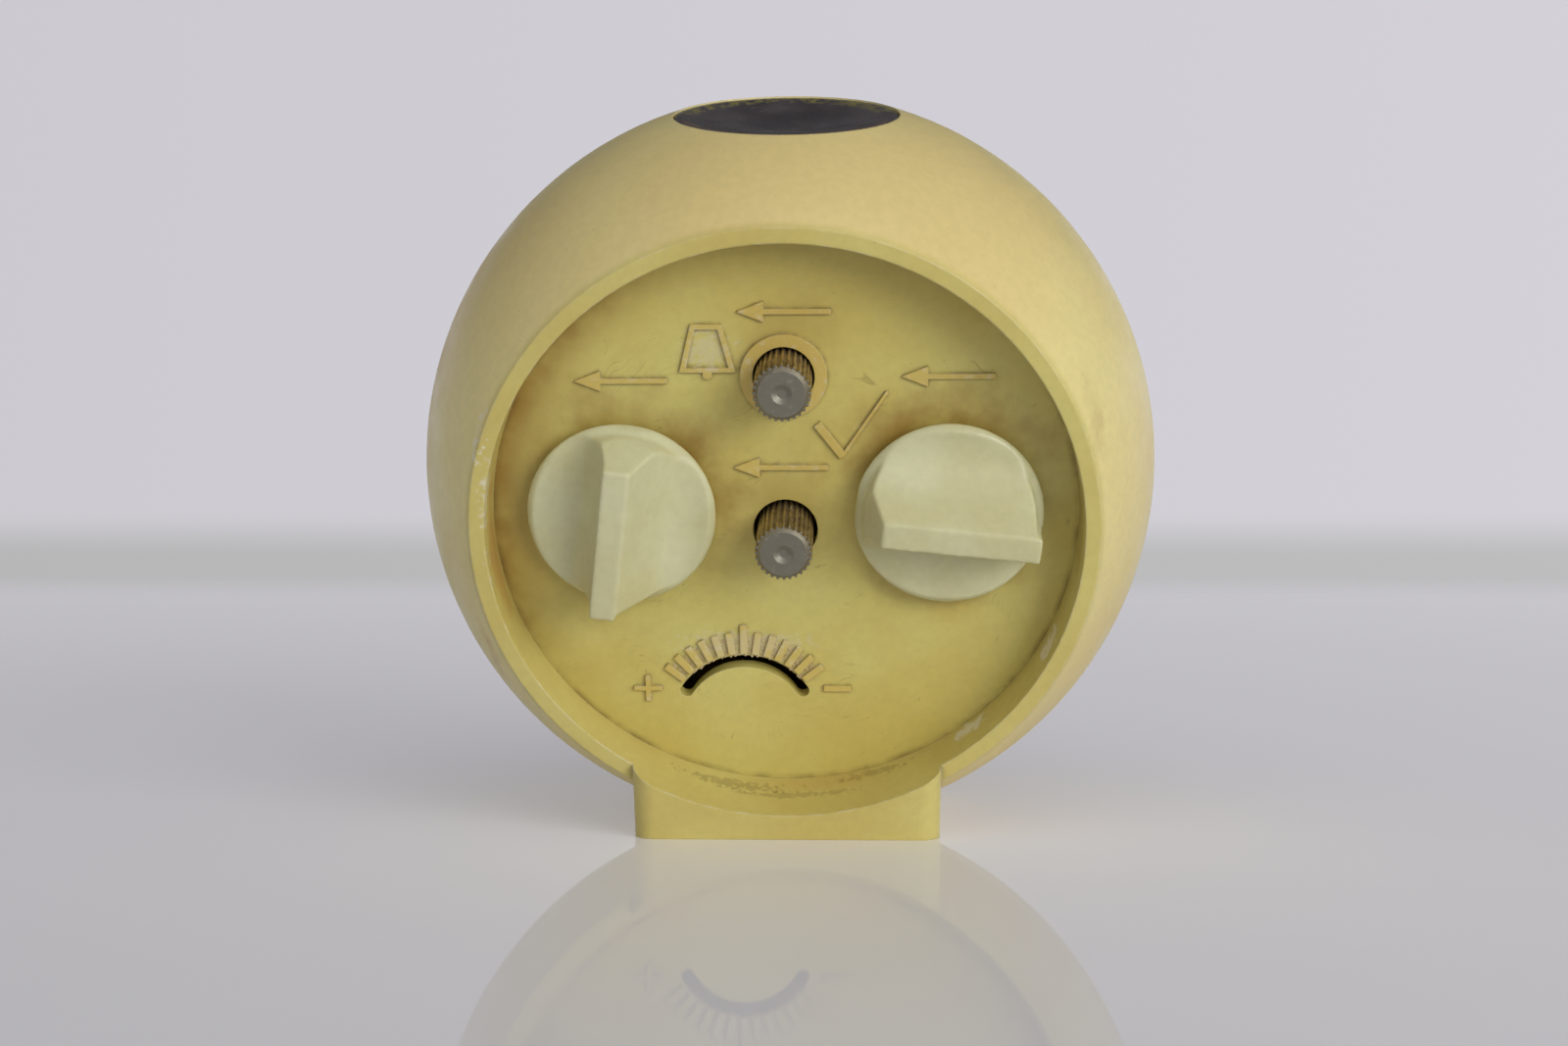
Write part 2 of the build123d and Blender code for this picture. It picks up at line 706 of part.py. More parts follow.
def balance_wheel():
    low, high = balance_level
    rim = tube(balance_at, balance_radius, balance_radius - 1.1, low, high)
    arm_outline = Rectangle(2 * balance_radius - 1.6, 1.2) + Circle(1.9)
    arms = slab(Pos(*balance_at) * arm_outline, low + 0.4, low + 1.1)
    return rim + arms - rod(balance_at, arbor_radius + fixed, low - 1, high + 1)


def balance_staff():
    staff = pivoted_arbor(balance_at, arbor_radius)
    along = bearing(balance_at, lever_at)
    staff += rod(balance_at, 1.9, lever_level[1] + 0.4, lever_level[1] + 0.9)
    pin = polar(balance_at, 1.4, along)
    return staff + rod(pin, 0.2, lever_level[1] + 0.15, lever_level[1] + 0.5)


def hairspring():
    return spiral(balance_at, 1.6, 5.6, 7, 0.16, hairspring_level)


def regulator_lever():
    low = rear_outer + 0.1
    ring = Circle(2.4) - Circle(1.1)
    arm = Pos(0, (slot_radius + 2.0) / 2) * Rectangle(1.1, slot_radius - 2.0)
    lever = slab(Pos(*balance_at) * (ring + arm), low, low + 0.6)
    tab_at = (balance_at[0], balance_at[1] + slot_radius)
    tab = Pos(tab_at[0], tab_at[1], (low + plate_in - 0.4) / 2) * Box(1.1, 0.6, plate_in - 0.4 - low)
    return lever + tab


def regulator_bush():
    low = rear_outer
    bush = tube(balance_at, 1.05, pivot_radius + running + 0.1, low, low + 0.8)
    return bush + tube(balance_at, 1.7, 1.04, low + 0.75, low + 1.1)


# ---- motion work ------------------------------------------------------------------------------
def cannon_pinion():
    aim = bearing(centre, minute_at)
    return toothed(centre, cannon_teeth, cannon_module, cannon_level, aim, False, set_shaft_radius + fixed)


def minute_wheel():
    aim = bearing(minute_at, centre)
    low, high = cannon_level
    wheel = toothed(minute_at, minute_wheel_teeth, cannon_module, (low + 0.2, high - 0.2), aim)
    wheel = spoked(wheel, minute_at, 4.6, 2.2, cannon_level, 3)
    level = (hour_level[0] - 0.1, low + 0.3)
    wheel += toothed(minute_at, minute_pinion_teeth, hour_module, level, aim, False)
    return wheel - rod(minute_at, 0.85, hour_level[0] - 1, high + 1)


def minute_stud():
    return rod(minute_at, 0.8 - fixed, hour_level[0] - 0.3, front_inner)


def hour_wheel():
    aim = bearing(centre, minute_at)
    inner = set_shaft_radius + running
    wheel = toothed(centre, hour_teeth, hour_module, hour_level, aim, True)
    wheel += rod(centre, hour_pipe_radius, hour_hand_level[0], hour_level[0])
    return wheel - rod(centre, inner, hour_hand_level[0] - 1, hour_level[1] + 1)


def alarm_wheel():
    aim = bearing(centre, alarm_shaft)
    inner = hour_pipe_radius + running
    wheel = toothed(centre, alarm_wheel_teeth, alarm_module, alarm_level, aim, True)
    wheel = spoked(wheel, centre, 12.0, 5.0, alarm_level, 5)
    wheel += rod(centre, alarm_pipe_radius, alarm_hand_level[0], alarm_level[0])
    return wheel - rod(centre, inner, alarm_hand_level[0] - 1, alarm_level[1] + 1)


def hand(level, bore, length, width, angle, hub):
    blade = Pos(length / 2, 0) * Rectangle(length, width) + Circle(hub) + Pos(length, 0) * Circle(width / 2)
    return slab(Pos(*centre) * Rot(0, 0, angle) * (blade - Circle(bore)), *level)


def hour_hand():
    return hand(hour_hand_level, hour_pipe_radius + fixed, 15.5, 2.4, 145, 3.4)


def minute_hand():
    return hand(minute_hand_level, set_shaft_radius + fixed, 24.0, 1.7, 30, 2.6)


def alarm_hand():
    return hand(alarm_hand_level, alarm_pipe_radius + fixed, 11.0, 1.0, 90, 4.0)


# ---- alarm train --------------------------------------------------------------------------------
def alarm_escape_arbor():
    body = pivoted_arbor(alarm_escape_at, arbor_radius)
    level = (alarm_great_level[0] - 0.3, alarm_great_level[1] + 0.3)
    aim = bearing(alarm_escape_at, alarm_winding)
    pinion = toothed(alarm_escape_at, alarm_escape_pinion_teeth, great_module, level, aim, False)
    return body + pinion


def alarm_escape_wheel():
    return saw_wheel(alarm_escape_at, 12, 4.2, 3.0, escape_level, arbor_radius + fixed)


def hammer_arbor():
    body = rod(hammer_at, arbor_radius, front_inner + 0.15, 16.4)
    body += rod(hammer_at, pivot_radius, front_outer, front_inner + 0.2)
    verge = Pos(*hammer_at) * Rot(0, 0, bearing(hammer_at, alarm_escape_at)) * (
        Pos(2.0, 0) * Rectangle(4.6, 1.2) + Pos(4.2, 0) * Rectangle(1.0, 5.2)
    )
    body += slab(verge, *lever_level)
    tail = bar(hammer_at, (hammer_at[0] + 6.8, hammer_at[1] - 1.1), 1.4)
    return body + slab(tail, -0.6, 0.6)


def hammer():
    arm = bar((hammer_at[0], hammer_at[1]), hammer_head_at, 1.5) + Pos(*hammer_at) * Circle(1.9)
    body = slab(arm, 14.6, 15.6) + rod(hammer_head_at, hammer_radius, 13.6, 17.2)
    return body - rod(hammer_at, arbor_radius + fixed, 13, 18)


def bell():
    low = rear_outer + 1.6
    cup = rod(bell_at, bell_radius, low, low + bell_height)
    inside = rod(bell_at, bell_radius - 0.7, low - 1, low + bell_height - 0.8)
    return cup - inside - rod(bell_at, 0.8, low, low + bell_height + 1)


def bell_post():
    # riveted over the bell
    low = rear_outer + 1.6
    top = low + bell_height - 0.8
    post = rod(bell_at, 2.0, rear_outer, top)
    post += rod(bell_at, 0.8 - fixed, rear_inner, top + 0.9)
    return post + rod(bell_at, 1.5, top + 0.8, top + 1.3)


# ---- dial side ---------------------------------------------------------------------------------
def dial_posts_at():
    return [polar(centre, 27.0, angle) for angle in (30, 150, 270)]


def dial_posts():
    posts = Part()
    for at in dial_posts_at():
        posts += rod(at, 1.8, dial_level[1], front_outer)
        posts += rod(at, 0.8 - fixed, front_outer - 0.1, front_inner)
    return posts


def dial():
    disc = rod(centre, dial_radius, *dial_level)
    disc -= rod(centre, alarm_pipe_radius + 0.4, dial_level[0] - 1, dial_level[1] + 1)
    low = dial_level[0] - 0.15
    for hour in range(12):
        long = 4.0 if hour % 3 == 0 else 2.6
        mark = Pos(*centre) * Rot(0, 0, hour * 30) * Pos(29.5 - long / 2, 0) * Rectangle(long, 0.9)
        disc += slab(mark, low, dial_level[0])
    return disc


def dial_surround():
    low = -front_level + front_flange + 0.05
    return tube(centre, dial_radius, window_radius - 0.6, low, dial_level[0] - 0.05)


def bezel():
    seat = window_radius - seam_clearance
    ring = tube(centre, seat, seat - 1.6, -front_level - 0.1, -front_level + front_flange - 0.2)
    lip = tube(centre, seat + 1.4, seat - 2.4, -front_level - 1.4, -front_level - 0.05)
    return ring + lip


def crystal():
    # shallow dome held by the bezel
    radius = window_radius - seam_clearance - 1.7
    dome = (radius ** 2 + crystal_rise ** 2) / (2 * crystal_rise)
    middle = Pos(centre[0], centre[1], -front_level + 0.3 - crystal_rise + dome)
    shell = middle * (Sphere(dome) - Sphere(dome - crystal_thickness))
    return shell & rod(centre, radius, -front_level - 10, -front_level + 10)


nodes = {
    "rear_shell": rear_shell,
    "front_shell": front_shell,
    "back_plate": back_plate,
    "case_screws": case_screws,
    "cover_posts": cover_posts,
    "rear_movement_plate": rear_movement_plate,
    "front_movement_plate": front_movement_plate,
    "pillars": pillars,
    "pillar_nuts": pillar_nuts,
    "time_key": lambda: key(time_winding, time_key_angle),
    "time_winding_arbor": lambda: winding_arbor(time_winding),
    "time_ratchet_wheel": lambda: ratchet_wheel(time_winding, great_level),
    "time_mainspring": lambda: mainspring(time_winding, -40, great_level),
    "great_wheel": lambda: great_wheel(time_winding, centre, great_level),
    "time_click": lambda: click(time_winding, 90, great_level),
    "centre_pinion": centre_pinion,
    "centre_wheel": centre_wheel,
    "third_arbor": third_arbor,
    "third_wheel": third_wheel,
    "escape_arbor": escape_arbor,
    "escape_wheel": escape_wheel,
    "pallet_lever": pallet_lever,
    "lever_bridge": lever_bridge,
    "balance_wheel": balance_wheel,
    "balance_staff": balance_staff,
    "hairspring": hairspring,
    "regulator_lever": regulator_lever,
    "regulator_bush": regulator_bush,
    "time_set_shaft": time_set_shaft,
    "cannon_pinion": cannon_pinion,
    "minute_wheel": minute_wheel,
    "minute_stud": minute_stud,
    "hour_wheel": hour_wheel,
    "minute_hand": minute_hand,
    "hour_hand": hour_hand,
    "alarm_key": lambda: key(alarm_winding, alarm_key_angle),
    "alarm_winding_arbor": lambda: winding_arbor(alarm_winding),
    "alarm_ratchet_wheel": lambda: ratchet_wheel(alarm_winding, alarm_great_level),
    "alarm_mainspring": lambda: mainspring(alarm_winding, 220, alarm_great_level),
    "alarm_great_wheel": lambda: great_wheel(alarm_winding, alarm_escape_at, alarm_great_level),
    "alarm_click": lambda: click(alarm_winding, 180, alarm_great_level),
    "alarm_escape_arbor": alarm_escape_arbor,
    "alarm_escape_wheel": alarm_escape_wheel,
    "hammer_arbor": hammer_arbor,
    "hammer": hammer,
    "bell": bell,
    "bell_post": bell_post,
    "alarm_set_shaft": alarm_set_shaft,
    "alarm_set_pinion": alarm_set_pinion,
    "alarm_wheel": alarm_wheel,
    "alarm_hand": alarm_hand,
    "stop_button": stop_button,
    "button_stem": button_stem,
    "button_spring": button_spring,
    "button_bracket": button_bracket,
    "dial_posts": dial_posts,
    "dial": dial,
    "dial_surround": dial_surround,
    "bezel": bezel,
    "crystal": crystal,
}

os.makedirs("parts", exist_ok=True)
for name, make in nodes.items():
    export_step(stand(make()), "parts/" + name + ".step")
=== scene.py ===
import bpy
import bmesh
import json
from math import atan2, cos, pi, radians, sin
from mathutils import Euler, Matrix, Vector


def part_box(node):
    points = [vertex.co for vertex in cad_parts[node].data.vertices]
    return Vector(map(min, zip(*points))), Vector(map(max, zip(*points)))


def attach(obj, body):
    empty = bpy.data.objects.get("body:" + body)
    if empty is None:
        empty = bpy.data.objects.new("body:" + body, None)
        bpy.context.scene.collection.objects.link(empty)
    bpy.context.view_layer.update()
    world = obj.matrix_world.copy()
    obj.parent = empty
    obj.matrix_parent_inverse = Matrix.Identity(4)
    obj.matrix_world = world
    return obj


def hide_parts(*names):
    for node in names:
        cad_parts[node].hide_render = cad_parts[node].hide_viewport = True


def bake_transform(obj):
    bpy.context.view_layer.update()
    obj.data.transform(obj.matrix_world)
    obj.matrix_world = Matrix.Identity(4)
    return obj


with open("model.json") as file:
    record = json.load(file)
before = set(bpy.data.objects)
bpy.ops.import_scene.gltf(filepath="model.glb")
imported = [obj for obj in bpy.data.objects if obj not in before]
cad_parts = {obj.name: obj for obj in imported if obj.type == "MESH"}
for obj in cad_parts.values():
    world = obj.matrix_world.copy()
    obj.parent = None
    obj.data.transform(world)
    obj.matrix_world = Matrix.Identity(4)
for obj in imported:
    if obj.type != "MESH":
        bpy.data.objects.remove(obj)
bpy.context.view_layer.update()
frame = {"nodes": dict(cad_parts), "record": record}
record = frame["record"]
print("frame loaded")

# The clock is drawn leaning back: across, up along the back plate, out of the back.
joints = {joint["name"]: joint for joint in record["behaviour"]["joints"]}
slotOf = {part["node"]: part["material_slot"] for part in record["subparts"]}
bodyOf = {node: body for body, nodes in record["behaviour"]["bodies"].items() for node in nodes}
backWay = Vector(joints["time_set_turn"]["axis"])
leanAngle = atan2(-backWay.z, -backWay.y)
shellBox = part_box("rear_shell")
ballRadius = (shellBox[1][0] - shellBox[0][0]) / 2
ballCentre = Vector((0.0, 0.0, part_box("front_shell")[1][2] - ballRadius))
turnToClock = Euler((radians(90) + leanAngle, 0.0, 0.0))
millimetre = 0.001
clockFrame = Matrix.Translation(ballCentre) @ turnToClock.to_matrix().to_4x4() @ Matrix.Scale(millimetre, 4)
worldToClock = clockFrame.inverted()


def inClock(point):
    return worldToClock @ Vector(point)


def clockSpot(jointName):
    return inClock(joints[jointName]["pos_m"])


timeKeyAt = clockSpot("time_key_turn")
alarmKeyAt = clockSpot("alarm_key_turn")
timeShaftAt = clockSpot("time_set_turn")
alarmShaftAt = clockSpot("alarm_set_turn")
rateAt = clockSpot("regulator_turn")


# ---- node helpers
def srgb(red, green, blue):
    # everyday 0-255 colour to the linear one the shader wants
    def one(value):
        part = value / 255
        return part / 12.92 if part <= 0.04045 else ((part + 0.055) / 1.055) ** 2.4
    return (one(red), one(green), one(blue), 1.0)


def addNode(tree, kind, **settings):
    node = tree.nodes.new(kind)
    for key, value in settings.items():
        setattr(node, key, value)
    return node


def feed(tree, value, socket):
    # a link when the value is a socket, otherwise a plain number or colour
    if isinstance(value, bpy.types.NodeSocket):
        tree.links.new(value, socket)
    else:
        socket.default_value = value


def maths(tree, operation, first, second=0.0, clamp=False):
    node = addNode(tree, "ShaderNodeMath", operation=operation, use_clamp=clamp)
    feed(tree, first, node.inputs[0])
    feed(tree, second, node.inputs[1])
    return node.outputs[0]


def vectorMaths(tree, operation, first, second=(0.0, 0.0, 0.0)):
    node = addNode(tree, "ShaderNodeVectorMath", operation=operation)
    feed(tree, first, node.inputs[0])
    feed(tree, second, node.inputs[1])
    return node.outputs["Value"] if operation in ("LENGTH", "DOT_PRODUCT") else node.outputs["Vector"]


def ramp(tree, value, low, high, toLow=0.0, toHigh=1.0, smooth=True):
    node = addNode(tree, "ShaderNodeMapRange", interpolation_type="SMOOTHSTEP" if smooth else "LINEAR")
    feed(tree, value, node.inputs["Value"])
    feed(tree, low, node.inputs["From Min"])
    feed(tree, high, node.inputs["From Max"])
    feed(tree, toLow, node.inputs["To Min"])
    feed(tree, toHigh, node.inputs["To Max"])
    return node.outputs["Result"]


def mixColour(tree, factor, first, second, blend="MIX"):
    node = addNode(tree, "ShaderNodeMix", data_type="RGBA", blend_type=blend)
    feed(tree, factor, node.inputs[0])
    feed(tree, first, node.inputs[6])
    feed(tree, second, node.inputs[7])
    return node.outputs[2]


def mixValue(tree, factor, first, second):
    node = addNode(tree, "ShaderNodeMix", data_type="FLOAT")
    feed(tree, factor, node.inputs[0])
    feed(tree, first, node.inputs[2])
    feed(tree, second, node.inputs[3])
    return node.outputs[0]


def noise(tree, vector, scale, detail=3.0, roughness=0.55):
    node = addNode(tree, "ShaderNodeTexNoise")
    feed(tree, vector, node.inputs["Vector"])
    feed(tree, scale, node.inputs["Scale"])
    feed(tree, detail, node.inputs["Detail"])
    feed(tree, roughness, node.inputs["Roughness"])
    return node.outputs["Fac"]


def newGroup(name, inputs, outputs):
    tree = bpy.data.node_groups.new(name, "ShaderNodeTree")
    kinds = {"value": "NodeSocketFloat", "vector": "NodeSocketVector", "colour": "NodeSocketColor"}
    for label, kind, default in inputs:
        socket = tree.interface.new_socket(name=label, in_out="INPUT", socket_type=kinds[kind])
        socket.default_value = default
    for label, kind in outputs:
        tree.interface.new_socket(name=label, in_out="OUTPUT", socket_type=kinds[kind])
    return tree, addNode(tree, "NodeGroupInput"), addNode(tree, "NodeGroupOutput")


def useGroup(tree, group, **values):
    node = addNode(tree, "ShaderNodeGroup", node_tree=group)
    for label, value in values.items():
        feed(tree, value, node.inputs[label])
    return node


# ---- shared effects, as node groups
def makeClockPlace():
    # where a point is on the leaning clock, in millimetres
    results = [("Place", "vector"), ("Off Axis", "value"), ("Out", "value")]
    tree, _, result = newGroup("clockPlace", [], results)
    coordinate = addNode(tree, "ShaderNodeTexCoord")
    mapping = addNode(tree, "ShaderNodeMapping", vector_type="TEXTURE")
    feed(tree, coordinate.outputs["Object"], mapping.inputs["Vector"])
    mapping.inputs["Location"].default_value = ballCentre
    mapping.inputs["Rotation"].default_value = turnToClock
    mapping.inputs["Scale"].default_value = (millimetre, millimetre, millimetre)
    place = mapping.outputs["Vector"]
    flat = vectorMaths(tree, "MULTIPLY", place, (1.0, 1.0, 0.0))
    parts = addNode(tree, "ShaderNodeSeparateXYZ")
    feed(tree, place, parts.inputs[0])
    feed(tree, place, result.inputs["Place"])
    feed(tree, vectorMaths(tree, "LENGTH", flat), result.inputs["Off Axis"])
    feed(tree, parts.outputs["Z"], result.inputs["Out"])
    return tree


def makeSpotAt():
    # a soft-edged patch with a ragged outline round a given place
    tree, given, result = newGroup(
        "spotAt",
        [("Place", "vector", (0, 0, 0)), ("Centre", "vector", (0, 0, 0)), ("Size", "vector", (1, 1, 1)),
         ("Ragged", "value", 0.4), ("Grit", "value", 0.5), ("Softness", "value", 0.5)],
        [("Mask", "value")],
    )
    away = vectorMaths(tree, "SUBTRACT", given.outputs["Place"], given.outputs["Centre"])
    away = vectorMaths(tree, "DIVIDE", away, given.outputs["Size"])
    reach = vectorMaths(tree, "LENGTH", away)
    grit = maths(tree, "SUBTRACT", noise(tree, given.outputs["Place"], given.outputs["Grit"], 4.0), 0.5)
    ragged = maths(tree, "MULTIPLY", grit, maths(tree, "MULTIPLY", given.outputs["Ragged"], 4.0))
    reach = maths(tree, "ADD", reach, ragged)
    inner = maths(tree, "SUBTRACT", 1.0, given.outputs["Softness"])
    feed(tree, ramp(tree, reach, inner, 1.0, 1.0, 0.0), result.inputs["Mask"])
    return tree


def makeEdgeWear():
    # rounds the sharp edges of the mould and finds them for wear
    tree, given, result = newGroup(
        "edgeWear",
        [("Place", "vector", (0, 0, 0)), ("Rounding", "value", 0.0003), ("Grit", "value", 0.8),
         ("Amount", "value", 1.0)],
        [("Mask", "value"), ("Normal", "vector")],
    )
    rounded = addNode(tree, "ShaderNodeBevel", samples=6)
    feed(tree, given.outputs["Rounding"], rounded.inputs["Radius"])
    geometry = addNode(tree, "ShaderNodeNewGeometry")
    agree = vectorMaths(tree, "DOT_PRODUCT", rounded.outputs["Normal"], geometry.outputs["Normal"])
    edge = ramp(tree, agree, 0.995, 0.86, 0.0, 1.0)
    ragged = ramp(tree, noise(tree, given.outputs["Place"], given.outputs["Grit"], 5.0, 0.65), 0.42, 0.62)
    mask = maths(tree, "MULTIPLY", maths(tree, "MULTIPLY", edge, ragged), given.outputs["Amount"], clamp=True)
    feed(tree, mask, result.inputs["Mask"])
    feed(tree, rounded.outputs["Normal"], result.inputs["Normal"])
    return tree


def makeCornerDirt():
    # darkening where two faces meet, found by ambient occlusion: painted shade in corners and creases, broken
    # up like settled dirt
    tree, given, result = newGroup(
        "cornerShadeAndDirt",
        [("Place", "vector", (0, 0, 0)), ("Reach", "value", 0.001), ("Grit", "value", 0.4),
         ("Amount", "value", 1.0)],
        [("Mask", "value")],
    )
    shade = addNode(tree, "ShaderNodeAmbientOcclusion", samples=8, only_local=True)
    feed(tree, given.outputs["Reach"], shade.inputs["Distance"])
    corner = ramp(tree, shade.outputs["AO"], 0.92, 0.45)
    grain = noise(tree, given.outputs["Place"], given.outputs["Grit"], 5.0, 0.6)
    patchy = ramp(tree, grain, 0.30, 0.65, 0.25, 1.0)
    patches = maths(tree, "MULTIPLY", corner, patchy)
    mask = maths(tree, "MULTIPLY", patches, given.outputs["Amount"], clamp=True)
    feed(tree, mask, result.inputs["Mask"])
    return tree


def makeScratches():
    # fine hairlines, mostly running one way
    tree, given, result = newGroup(
        "scratches",
        [("Place", "vector", (0, 0, 0)), ("Stretch", "vector", (1.0, 0.05, 1.0)), ("Density", "value", 1.0)],
        [("Mask", "value")],
    )
    bent = noise(tree, given.outputs["Place"], 0.08, 2.0)
    turned = addNode(tree, "ShaderNodeVectorRotate", rotation_type="Z_AXIS")
    feed(tree, given.outputs["Place"], turned.inputs["Vector"])
    feed(tree, maths(tree, "MULTIPLY", bent, 2.2), turned.inputs["Angle"])
    drawn = vectorMaths(tree, "MULTIPLY", turned.outputs["Vector"], given.outputs["Stretch"])
    line = noise(tree, drawn, given.outputs["Density"], 2.0, 0.4)
    thin = maths(tree, "ABSOLUTE", maths(tree, "SUBTRACT", line, 0.5))
    gate = ramp(tree, noise(tree, given.outputs["Place"], 0.25, 3.0), 0.52, 0.66)
    feed(tree, maths(tree, "MULTIPLY", ramp(tree, thin, 0.012, 0.0), gate), result.inputs["Mask"])
    return tree


def makePlasticSkin():
    # colour drift, specks and the faint waviness of moulded plastic
    tree, given, result = newGroup(
        "plasticSkin",
        [("Place", "vector", (0, 0, 0)), ("Colour", "colour", (0.5, 0.5, 0.5, 1)),
         ("Drift Colour", "colour", (0.4, 0.4, 0.4, 1)), ("Drift Scale", "value", 0.05),
         ("Roughness", "value", 0.35)],
        [("Colour", "colour"), ("Roughness", "value"), ("Height", "value")],
    )
    place = given.outputs["Place"]
    drift = ramp(tree, noise(tree, place, given.outputs["Drift Scale"], 3.0), 0.33, 0.68)
    colour = mixColour(tree, drift, given.outputs["Colour"], given.outputs["Drift Colour"])
    mottled = ramp(tree, noise(tree, place, 0.9, 4.0), 0.3, 0.7, 0.965, 1.02)
    tone = addNode(tree, "ShaderNodeCombineColor")
    for channel in range(3):
        feed(tree, mottled, tone.inputs[channel])
    colour = mixColour(tree, 1.0, colour, tone.outputs[0], "MULTIPLY")
    specks = ramp(tree, noise(tree, place, 2.6, 2.0), 0.735, 0.78)
    colour = mixColour(tree, maths(tree, "MULTIPLY", specks, 0.55), colour, srgb(96, 78, 48))
    feed(tree, colour, result.inputs["Colour"])
    smear = ramp(tree, noise(tree, place, 0.18, 4.0), 0.3, 0.7, -0.05, 0.09)
    feed(tree, maths(tree, "ADD", given.outputs["Roughness"], smear), result.inputs["Roughness"])
    fine = maths(tree, "MULTIPLY", noise(tree, place, 5.0, 2.0), 0.25)
    wavy = maths(tree, "MULTIPLY", noise(tree, place, 0.5, 2.0), 0.75)
    feed(tree, maths(tree, "ADD", fine, wavy), result.inputs["Height"])
    return tree


def makeMetalSkin():
    # turned or brushed metal with tarnish
    tree, given, result = newGroup(
        "metalSkin",
        [("Place", "vector", (0, 0, 0)), ("Colour", "colour", (0.5, 0.5, 0.5, 1)),
         ("Tarnish", "colour", (0.2, 0.15, 0.1, 1)), ("Tarnish Amount", "value", 0.5),
         ("Roughness", "value", 0.3), ("Stretch", "vector", (1, 1, 1))],
        [("Colour", "colour"), ("Roughness", "value"), ("Height", "value")],
    )
    place = given.outputs["Place"]
    brushed = noise(tree, vectorMaths(tree, "MULTIPLY", place, given.outputs["Stretch"]), 6.0, 3.0)
    patches = ramp(tree, noise(tree, place, 0.35, 5.0, 0.6), 0.38, 0.66)
    colour = mixColour(tree, maths(tree, "MULTIPLY", patches, given.outputs["Tarnish Amount"]),
                       given.outputs["Colour"], given.outputs["Tarnish"])
    colour = mixColour(tree, ramp(tree, brushed, 0.3, 0.7, 0.0, 0.18), colour, given.outputs["Tarnish"])
    feed(tree, colour, result.inputs["Colour"])
    lifted = maths(tree, "MULTIPLY", patches, 0.18)
    streak = ramp(tree, brushed, 0.3, 0.7, -0.05, 0.08)
    rough = maths(tree, "ADD", given.outputs["Roughness"], maths(tree, "ADD", lifted, streak))
    feed(tree, rough, result.inputs["Roughness"])
    feed(tree, brushed, result.inputs["Height"])
    return tree


clockPlace = makeClockPlace()
spotAt = makeSpotAt()
edgeWear = makeEdgeWear()
cornerShadeAndDirt = makeCornerDirt()
scratches = makeScratches()
plasticSkin = makePlasticSkin()
metalSkin = makeMetalSkin()
print("effects ready")


def startMaterial(name):
    material = bpy.data.materials.new(name)
    material.use_nodes = True
    tree = material.node_tree
    tree.nodes.clear()
    out = addNode(tree, "ShaderNodeOutputMaterial")
    shader = addNode(tree, "ShaderNodeBsdfPrincipled")
    tree.links.new(shader.outputs[0], out.inputs["Surface"])
    place = useGroup(tree, clockPlace)
    return material, tree, shader, place


def addBump(tree, shader, height, strength, depth, normal=None):
    bump = addNode(tree, "ShaderNodeBump")
    bump.inputs["Strength"].default_value = strength
    bump.inputs["Distance"].default_value = depth
    feed(tree, height, bump.inputs["Height"])
    if normal is not None:
        tree.links.new(normal, bump.inputs["Normal"])
    tree.links.new(bump.outputs["Normal"], shader.inputs["Normal"])


def addPlastic(tree, place, colour, drift, driftScale, roughness):
    return useGroup(tree, plasticSkin, Place=place, Colour=colour, Roughness=roughness,
                    **{"Drift Colour": drift, "Drift Scale": driftScale})


def addMetal(tree, place, colour, tarnish, amount, roughness, stretch):
    return useGroup(tree, metalSkin, Place=place, Colour=colour, Tarnish=tarnish, Roughness=roughness,
                    Stretch=stretch, **{"Tarnish Amount": amount})


def wash(tree, mask, strength, colour, tint):
    # a thin layer of tint where the mask is
    return mixColour(tree, maths(tree, "MULTIPLY", mask, strength), colour, tint)


def addSpot(tree, place, colour, tint, at, size, strength, grit, ragged=0.3, softness=0.6):
    spot = useGroup(tree, spotAt, Place=place, Centre=at, Size=size, Ragged=ragged, Grit=grit,
                    Softness=softness)
    return wash(tree, spot.outputs["Mask"], strength, colour, tint)


# ---- moulded case
caseLook = {
    "cream": srgb(229, 215, 147),
    "pinkCream": srgb(223, 202, 136),
    "recess": srgb(208, 195, 116),
    "recessDrift": srgb(200, 182, 102),
    "grimeAndShade": srgb(92, 70, 34),
    "rust": srgb(184, 132, 60),
    "stainAndShade": srgb(138, 104, 44),
    "scuffed": srgb(226, 220, 196),
    "driftScale": 0.022,
    "recessDriftScale": 0.05,
    "roughness": 0.33,
    "wornRoughness": 0.7,
    "shadeAndDirt": {"Reach": 0.0016, "Grit": 0.45, "Amount": 0.75},
    "wear": {"Rounding": 0.00035, "Grit": 0.5, "Amount": 0.55},
    "scratches": {"Density": 0.9},
    "scratchStrength": 0.12,
    "bump": (0.10, 0.0002),
    "shelterRadius": (35.4, 36.4),
    "shelterFloor": (20.0, 21.0),
    "footFrom": (27.6, 28.4),
}
